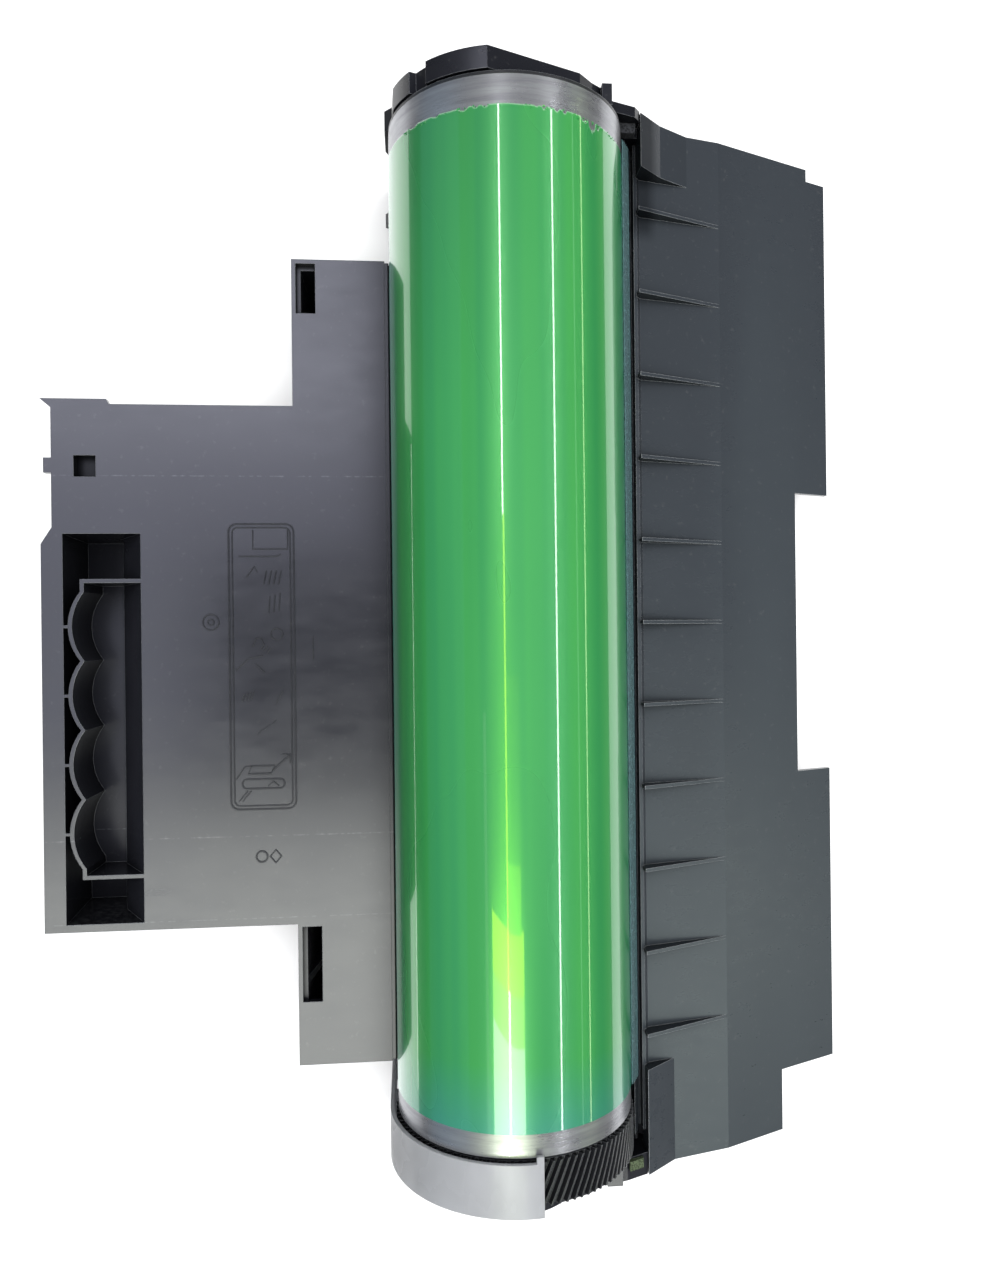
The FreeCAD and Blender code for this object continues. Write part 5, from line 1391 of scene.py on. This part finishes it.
@dataclass
class HandleLip:
    """The rounded lip along the handle's edge beside the drum. Sizes in mm."""

    width: float = 1.1
    thick: float = 0.7
    round: float = 0.3
    drop: float = 0.015
    overlap: float = 0.2
    trim: float = 0.5
    steps: int = 5

    def outline(self, edge: float, top: float) -> list[tuple[float, float]]:
        """The lip's section, which starts inside the plate's edge.

        Args:
            edge: the plate's edge, in metres.
            top: the plate's upper face, in metres.

        Returns:
            Points across and up, in metres.
        """
        inside, below = edge - self.overlap * MM, top - self.thick * MM
        middle = edge + (self.width - self.round) * MM
        level = top - (self.round + self.drop) * MM
        points = [(inside, below), (middle, below)]
        for i in range(self.steps + 1):
            turn = math.pi * (i / self.steps - 0.5)
            across, up = math.cos(turn) * self.round * MM, math.sin(turn) * self.round * MM
            points.append((middle + across, level + up))
        points.append((inside, top - self.drop * MM))
        return points

    def build(self, paint: Paint) -> Thing:
        """Make the lip as one bar with a rounded free edge.

        Args:
            paint: the maker of materials.

        Returns:
            The lip.
        """
        low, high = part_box("handle_cover")
        outline = self.outline(high.x, high.z)
        points = []
        for y in (low.y + self.trim * MM, high.y - self.trim * MM):
            points += [Vector((x, y, z)) for x, z in outline]
        count = len(outline)
        faces = [(i, i + count, (i + 1) % count + count, (i + 1) % count) for i in range(count)]
        faces += [tuple(range(count)), tuple(reversed(range(count, 2 * count)))]
        lip = mesh_object("handle_lip", points, faces)
        lip.data.materials.append(paint.own(HANDLE))
        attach(lip, "frame")
        log.info("built handle_lip, %.1f mm wide", self.width)
        return lip


@dataclass
class WindowSocket:
    """The blind socket behind the handle's square hole. Places in mm in the shared frame."""

    left: float = -99.05
    low: float = 44.5
    hole: float = 5.4
    margin: float = 0.6
    wall: float = 0.8
    floor: float = 33.4
    mouth: float = 36.0

    def build(self, paint: Paint) -> Thing:
        """Make the socket as an open box below the plate.

        Args:
            paint: the maker of materials.

        Returns:
            The socket.
        """
        inner = self.hole / 2 + self.margin
        outer = inner + self.wall
        middle = (self.left + self.hole / 2, self.low + self.hole / 2)
        points = []
        for half, level in ((outer, self.floor), (outer, self.mouth), (inner, self.mouth),
                            (inner, self.floor + self.wall)):
            for x, y in ((-half, -half), (half, -half), (half, half), (-half, half)):
                points.append(Vector((middle[0] + x, middle[1] + y, level)) * MM)
        faces = [(3, 2, 1, 0), (12, 13, 14, 15)]
        for ring in range(3):
            for i in range(4):
                here, there = ring * 4 + i, ring * 4 + (i + 1) % 4
                faces.append((here, there, there + 4, here + 4))
        socket = mesh_object("window_socket", points, faces)
        # Painted shade: the socket's inside is darker than the plate
        socket.data.materials.append(paint.own(PAINTED_SHADE))
        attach(socket, "frame")
        log.info("built window_socket, %.1f mm deep", self.mouth - self.floor)
        return socket


class Side(Enum):
    """Which pieces a light is seen in."""

    DRUM = "drum_pieces"
    HANDLE = "handle_pieces"
    COVER = "cover_pieces"


@dataclass(frozen=True)
class Line:
    """A long narrow light above the unit, in metres; slant in degrees towards the cover."""

    name: str
    slant: float
    width: float
    glow: float
    low: float = -0.9
    high: float = 0.9
    colour: str = "#FFFFFF"
    reach: float = 1.1


@dataclass(frozen=True)
class Pane:
    """A level bright pane above the unit, in metres."""

    name: str
    left: float
    right: float
    low: float
    high: float
    glow: float
    side: Side
    colour: str = "#FFFFFF"
    level: float = 1.15


@dataclass(frozen=True)
class Glint:
    """A thin light close above the handle's edge, in metres, mirrored in the drum's flank."""

    low: float = -0.13
    high: float = 0.06
    width: float = 0.0015
    across: float = -0.0635
    up: float = 0.0388
    glow: float = 5.0


@dataclass(frozen=True)
class Wall:
    """A faint upright light far beyond the handle, in metres."""

    across: float = -1.2
    height: float = 1.1
    length: float = 2.4
    glow: float = 0.28
    colour: str = "#90CCF8"


@dataclass
class Studio:
    """Table, room and lights. Lengths in metres, brightness in watts or as radiance."""

    table: float = 6.0
    table_left: float = -0.167
    table_right: float = 0.295
    table_drop: float = 0.0002
    key_spot: tuple[float, ...] = (0.05, 0.05, 1.5)
    key_size: float = 1.5
    key_power: float = 46.0
    lines: tuple[Line, ...] = (
        Line("line_1_rear", -11.1, 0.026, 18.0, 0.169, 0.9),
        Line("line_1_middle", -10.4, 0.026, 8.0, -0.478, 0.169, "#D8FF3A"),
        Line("line_1_front", -9.6, 0.030, 18.0, -0.9, -0.478),
        Line("line_2", 38.7, 0.030, 14.0),
        Line("line_3", 70.4, 0.022, 7.0, colour="#E8FFC8"),
        Line("line_4", 61.0, 0.020, 1.6, colour="#D8FFE8"),
        Line("line_5", -30.0, 0.05, 0.5, -0.9, -0.1),
    )
    panes: tuple[Pane, ...] = (
        Pane("lime_band", -0.19, 0.05, -0.31, -0.05, 0.5, Side.DRUM, "#B8FF20"),
        Pane("lime_flame", -0.20, 0.05, -0.405, -0.31, 3.4, Side.DRUM, "#B0FF10"),
        Pane("lime_patch", -0.50, 0.09, -0.49, -0.40, 7.5, Side.DRUM, "#D0FF08"),
        Pane("pale_lime", -0.50, 0.09, -0.56, -0.485, 5.0, Side.DRUM, "#E0FF78"),
        Pane("pale_patch", -0.50, 0.09, -0.95, -0.555, 7.0, Side.DRUM, "#F6FFE8"),
        Pane("window_near", -0.75, 0.90, -0.34, -0.235, 5.8, Side.HANDLE, "#FCFFF8"),
        Pane("window_front", -0.75, 0.90, -0.95, -0.34, 7.8, Side.HANDLE, "#FCFFF8"),
        Pane("window_middle", -0.75, -0.04, 0.12, 0.28, 2.8, Side.HANDLE, "#E2E4FC"),
        Pane("window_rear", -0.75, -0.04, 0.28, 0.80, 5.6, Side.HANDLE, "#E6E8FA"),
        Pane("window_side", -0.75, -0.31, -0.19, 0.12, 2.4, Side.HANDLE, "#E4E8FF"),
        Pane("window_cover_near", -0.2, 3.0, -0.34, -0.08, 0.6, Side.COVER, "#E6F5EA"),
        Pane("window_cover_middle", -0.2, 3.0, -0.60, -0.34, 1.3, Side.COVER, "#E6F5EA"),
        Pane("window_cover_front", -0.2, 3.0, -1.1, -0.60, 2.6, Side.COVER, "#E6F5EA"),
        Pane("window_cover_flat", 0.15, 0.9, -1.1, -0.50, 3.2, Side.COVER, "#E6F5EA"),
        Pane("window_cover_far", 0.9, 3.0, -1.1, -0.30, 2.4, Side.COVER, "#E6F5EA"),
    )
    glint: Glint = Glint()
    wall: Wall = Wall()
    table_colours: tuple[str, str] = ("#F6F6F6", "#FBFBFB")
    horizon: str = "#1C1D1F"
    zenith: str = "#7C7E82"

    def build(self, sides: dict[Side, bpy.types.Collection]) -> None:
        """Make the table, the world and the lights.

        Args:
            sides: the collection of pieces for each Side.
        """
        self.floor()
        self.world()
        up = Vector((0, 0, 1))
        self.lamp("key_panel", Vector(self.key_spot), up, (self.key_size, self.key_size),
                  self.key_power, glossy=False)
        for line in self.lines:
            turn = math.radians(line.slant)
            out = Vector((math.sin(turn), 0.0, math.cos(turn)))
            spot = at(0, 0, 0) + out * line.reach
            spot.y = (line.low + line.high) / 2
            size = (line.width, line.high - line.low)
            self.mirrored(line.name, spot, out, size, line.glow, sides[Side.DRUM], line.colour)
        for pane in self.panes:
            spot = Vector(((pane.left + pane.right) / 2, (pane.low + pane.high) / 2, pane.level))
            size = (pane.right - pane.left, pane.high - pane.low)
            self.mirrored(pane.name, spot, up, size, pane.glow, sides[pane.side], pane.colour)
        glint, wall = self.glint, self.wall
        spot = Vector((glint.across, (glint.low + glint.high) / 2, glint.up))
        size = (glint.width, glint.high - glint.low)
        self.mirrored("flank_glint", spot, -up, size, glint.glow, sides[Side.DRUM])
        spot = Vector((wall.across, 0.0, wall.height / 2))
        size = (wall.height, wall.length)
        self.mirrored("side_wall", spot, Vector((-1, 0, 0)), size, wall.glow, sides[Side.DRUM],
                      wall.colour)

    def mirrored(self, name: str, spot: Vector, back: Vector, size: tuple[float, float],
                 glow: float, seen_in: bpy.types.Collection, colour: str = "#FFFFFF") -> None:
        """A light that only shiny surfaces of some pieces mirror.

        Args:
            name: the light's name.
            spot: where its middle stands.
            back: the direction behind it.
            size: its size across and along the drum.
            glow: its radiance.
            seen_in: the collection of pieces that mirror it.
            colour: its colour as a hex code.
        """
        power = glow * math.pi * size[0] * size[1]
        self.lamp(name, spot, back, size, power, diffuse=False, colour=colour, seen_in=seen_in)

    def floor(self) -> None:
        """A pale table top."""
        half = self.table / 2
        left, right = self.table_left, self.table_right
        corners = [Vector((x, y, -self.table_drop)) for x, y in (
            (left, -half), (right, -half), (right, half), (left, half))]
        top = mesh_object("table_top", corners, [(0, 1, 2, 3)])
        material, g = new_material("white_laminate_sheet")
        share = g.step(Step.SPAN, g.lumps(70.0, detail=2.0), *USUAL)
        colour = g.step(Step.MIX, share, *(linear(code) for code in self.table_colours))
        shader = g.node("ShaderNodeBsdfPrincipled", {"Base Color": colour, "Roughness": 0.6})
        g.node("ShaderNodeOutputMaterial", {0: shader.outputs[0]})
        top.data.materials.append(material)
        top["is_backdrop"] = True

    def world(self) -> None:
        """A room that is darker near the horizon; the camera sees it pale."""
        world = bpy.data.worlds.new("studio_room")
        bpy.context.scene.world = world
        world.use_nodes = True
        g = Graph(world.node_tree)
        parts = g.node("ShaderNodeSeparateXYZ", {
            0: g.node("ShaderNodeTexCoord").outputs["Generated"]}).outputs
        rise = g.step(Step.SPAN, parts["Z"], 0.0, 0.9)
        room = g.step(Step.MIX, rise, linear(self.horizon), linear(self.zenith))
        path = g.node("ShaderNodeLightPath").outputs
        colour = g.step(Step.MIX, path["Is Camera Ray"], room, linear("#FFFFFF"))
        back = g.node("ShaderNodeBackground", {0: colour, 1: 1.0})
        g.node("ShaderNodeOutputWorld", {0: back.outputs[0]})

    def lamp(self, name: str, spot: Vector, back: Vector, size: tuple[float, float],
             power: float, glossy: bool = True, diffuse: bool = True, colour: str = "#FFFFFF",
             seen_in: bpy.types.Collection | None = None) -> None:
        """A rectangular light.

        Args:
            name: the light's name.
            spot: where its middle stands.
            back: the direction behind it; it shines the other way.
            size: its size across and along the drum.
            power: watts.
            glossy: whether shiny surfaces mirror it.
            diffuse: whether it lights matt surfaces.
            colour: its colour as a hex code.
            seen_in: the collection of pieces it lights, or nothing for all of them.
        """
        data = bpy.data.lights.new(name, "AREA")
        data.shape = "RECTANGLE"
        data.size, data.size_y = size
        data.energy = power
        data.color = linear(colour)[:3]
        lamp = bpy.data.objects.new(name, data)
        side = Vector((0, 1, 0)).cross(back).normalized()
        turn = Matrix((side, back.cross(side), back)).transposed().to_4x4()
        lamp.matrix_world = Matrix.Translation(spot) @ turn
        lamp.visible_glossy = glossy
        lamp.visible_diffuse = diffuse
        lamp.visible_camera = False
        if seen_in:
            lamp.light_linking.receiver_collection = seen_in
        bpy.context.scene.collection.objects.link(lamp)
        lamp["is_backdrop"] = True


@dataclass
class CameraRig:
    """The camera above the unit. Place and lens in mm, angles in degrees, clips in metres."""

    spot: tuple[float, ...] = (-14.45, 2.95, 286.7)
    lean: float = 5.3
    roll: float = 0.627
    lens: float = 26.87
    sensor: float = 36.0
    clip_near: float = 0.01
    clip_far: float = 20.0

    def build(self) -> None:
        """Make the camera and make it the scene's own."""
        lean, roll = math.radians(self.lean), math.radians(self.roll)
        right = Vector((math.cos(lean), 0, math.sin(lean)))
        ahead = Vector((math.sin(lean), 0, -math.cos(lean)))
        up = Vector((0, 1, 0))
        side = right * math.cos(roll) - up * math.sin(roll)
        top = right * math.sin(roll) + up * math.cos(roll)
        data = bpy.data.cameras.new("camera")
        data.lens = self.lens
        data.sensor_width = self.sensor
        data.clip_start = self.clip_near
        data.clip_end = self.clip_far
        camera = bpy.data.objects.new("camera", data)
        camera.matrix_world = Matrix.Translation(Vector(self.spot) * MM) @ Matrix(
            (side, top, -ahead)).transposed().to_4x4()
        bpy.context.scene.collection.objects.link(camera)
        bpy.context.scene.camera = camera


@dataclass
class DrumUnit:
    """The whole dressed unit."""

    coating: CoatingSleeve = field(default_factory=CoatingSleeve)
    flakes: Flakes = field(default_factory=Flakes)
    marks: HandleMarks = field(default_factory=HandleMarks)
    hatching: Hatching = field(default_factory=Hatching)
    lip: HandleLip = field(default_factory=HandleLip)
    socket: WindowSocket = field(default_factory=WindowSocket)
    springs: ChargeSprings = field(default_factory=ChargeSprings)
    bright: tuple[str, ...] = (
        "drum_tube", "drive_flange", "rear_flange", "gear_guard", "recovery_film", "drum_shaft",
        "shaft_retaining_rings")
    finned: str = "waste_cover"

    def build(self, paint: Paint) -> dict[Side, bpy.types.Collection]:
        """Paint the frame and add the dressed pieces.

        Args:
            paint: the maker of materials.

        Returns:
            The collection of pieces for each Side.
        """
        paint.coat_frame()
        sides = {side: bpy.data.collections.new(side.value) for side in Side}
        for thing in (self.coating.build(paint), self.flakes.build(paint, self.coating)):
            sides[Side.DRUM].objects.link(thing)
        extras = (self.marks, self.lip, self.socket)
        several = (*self.hatching.build(paint), *self.springs.build(paint))
        for thing in (*(part.build(paint) for part in extras), *several):
            sides[Side.HANDLE].objects.link(thing)
        for name, thing in frame["nodes"].items():
            side = Side.DRUM if name in self.bright else Side.HANDLE
            if name == self.finned:
                side = Side.COVER
            sides[side].objects.link(thing)
        return sides


def note_size(stage: str, table: dict) -> None:
    """Add the shown object's corners to the size table.

    Args:
        stage: name of the moment.
    """
    low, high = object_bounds()
    table[stage] = {"low": list(low), "high": list(high)}


def main() -> None:
    """Dress the unit, light it and set the camera."""
    logging.basicConfig(level=logging.INFO, format="%(name)s: %(message)s")
    sizes = {}
    note_size("frame", sizes)
    bpy.context.scene.view_settings.view_transform = "Standard"
    Studio().build(DrumUnit().build(Paint()))
    CameraRig().build()
    note_size("dressed", sizes)


if __name__ == "__main__":
    main()
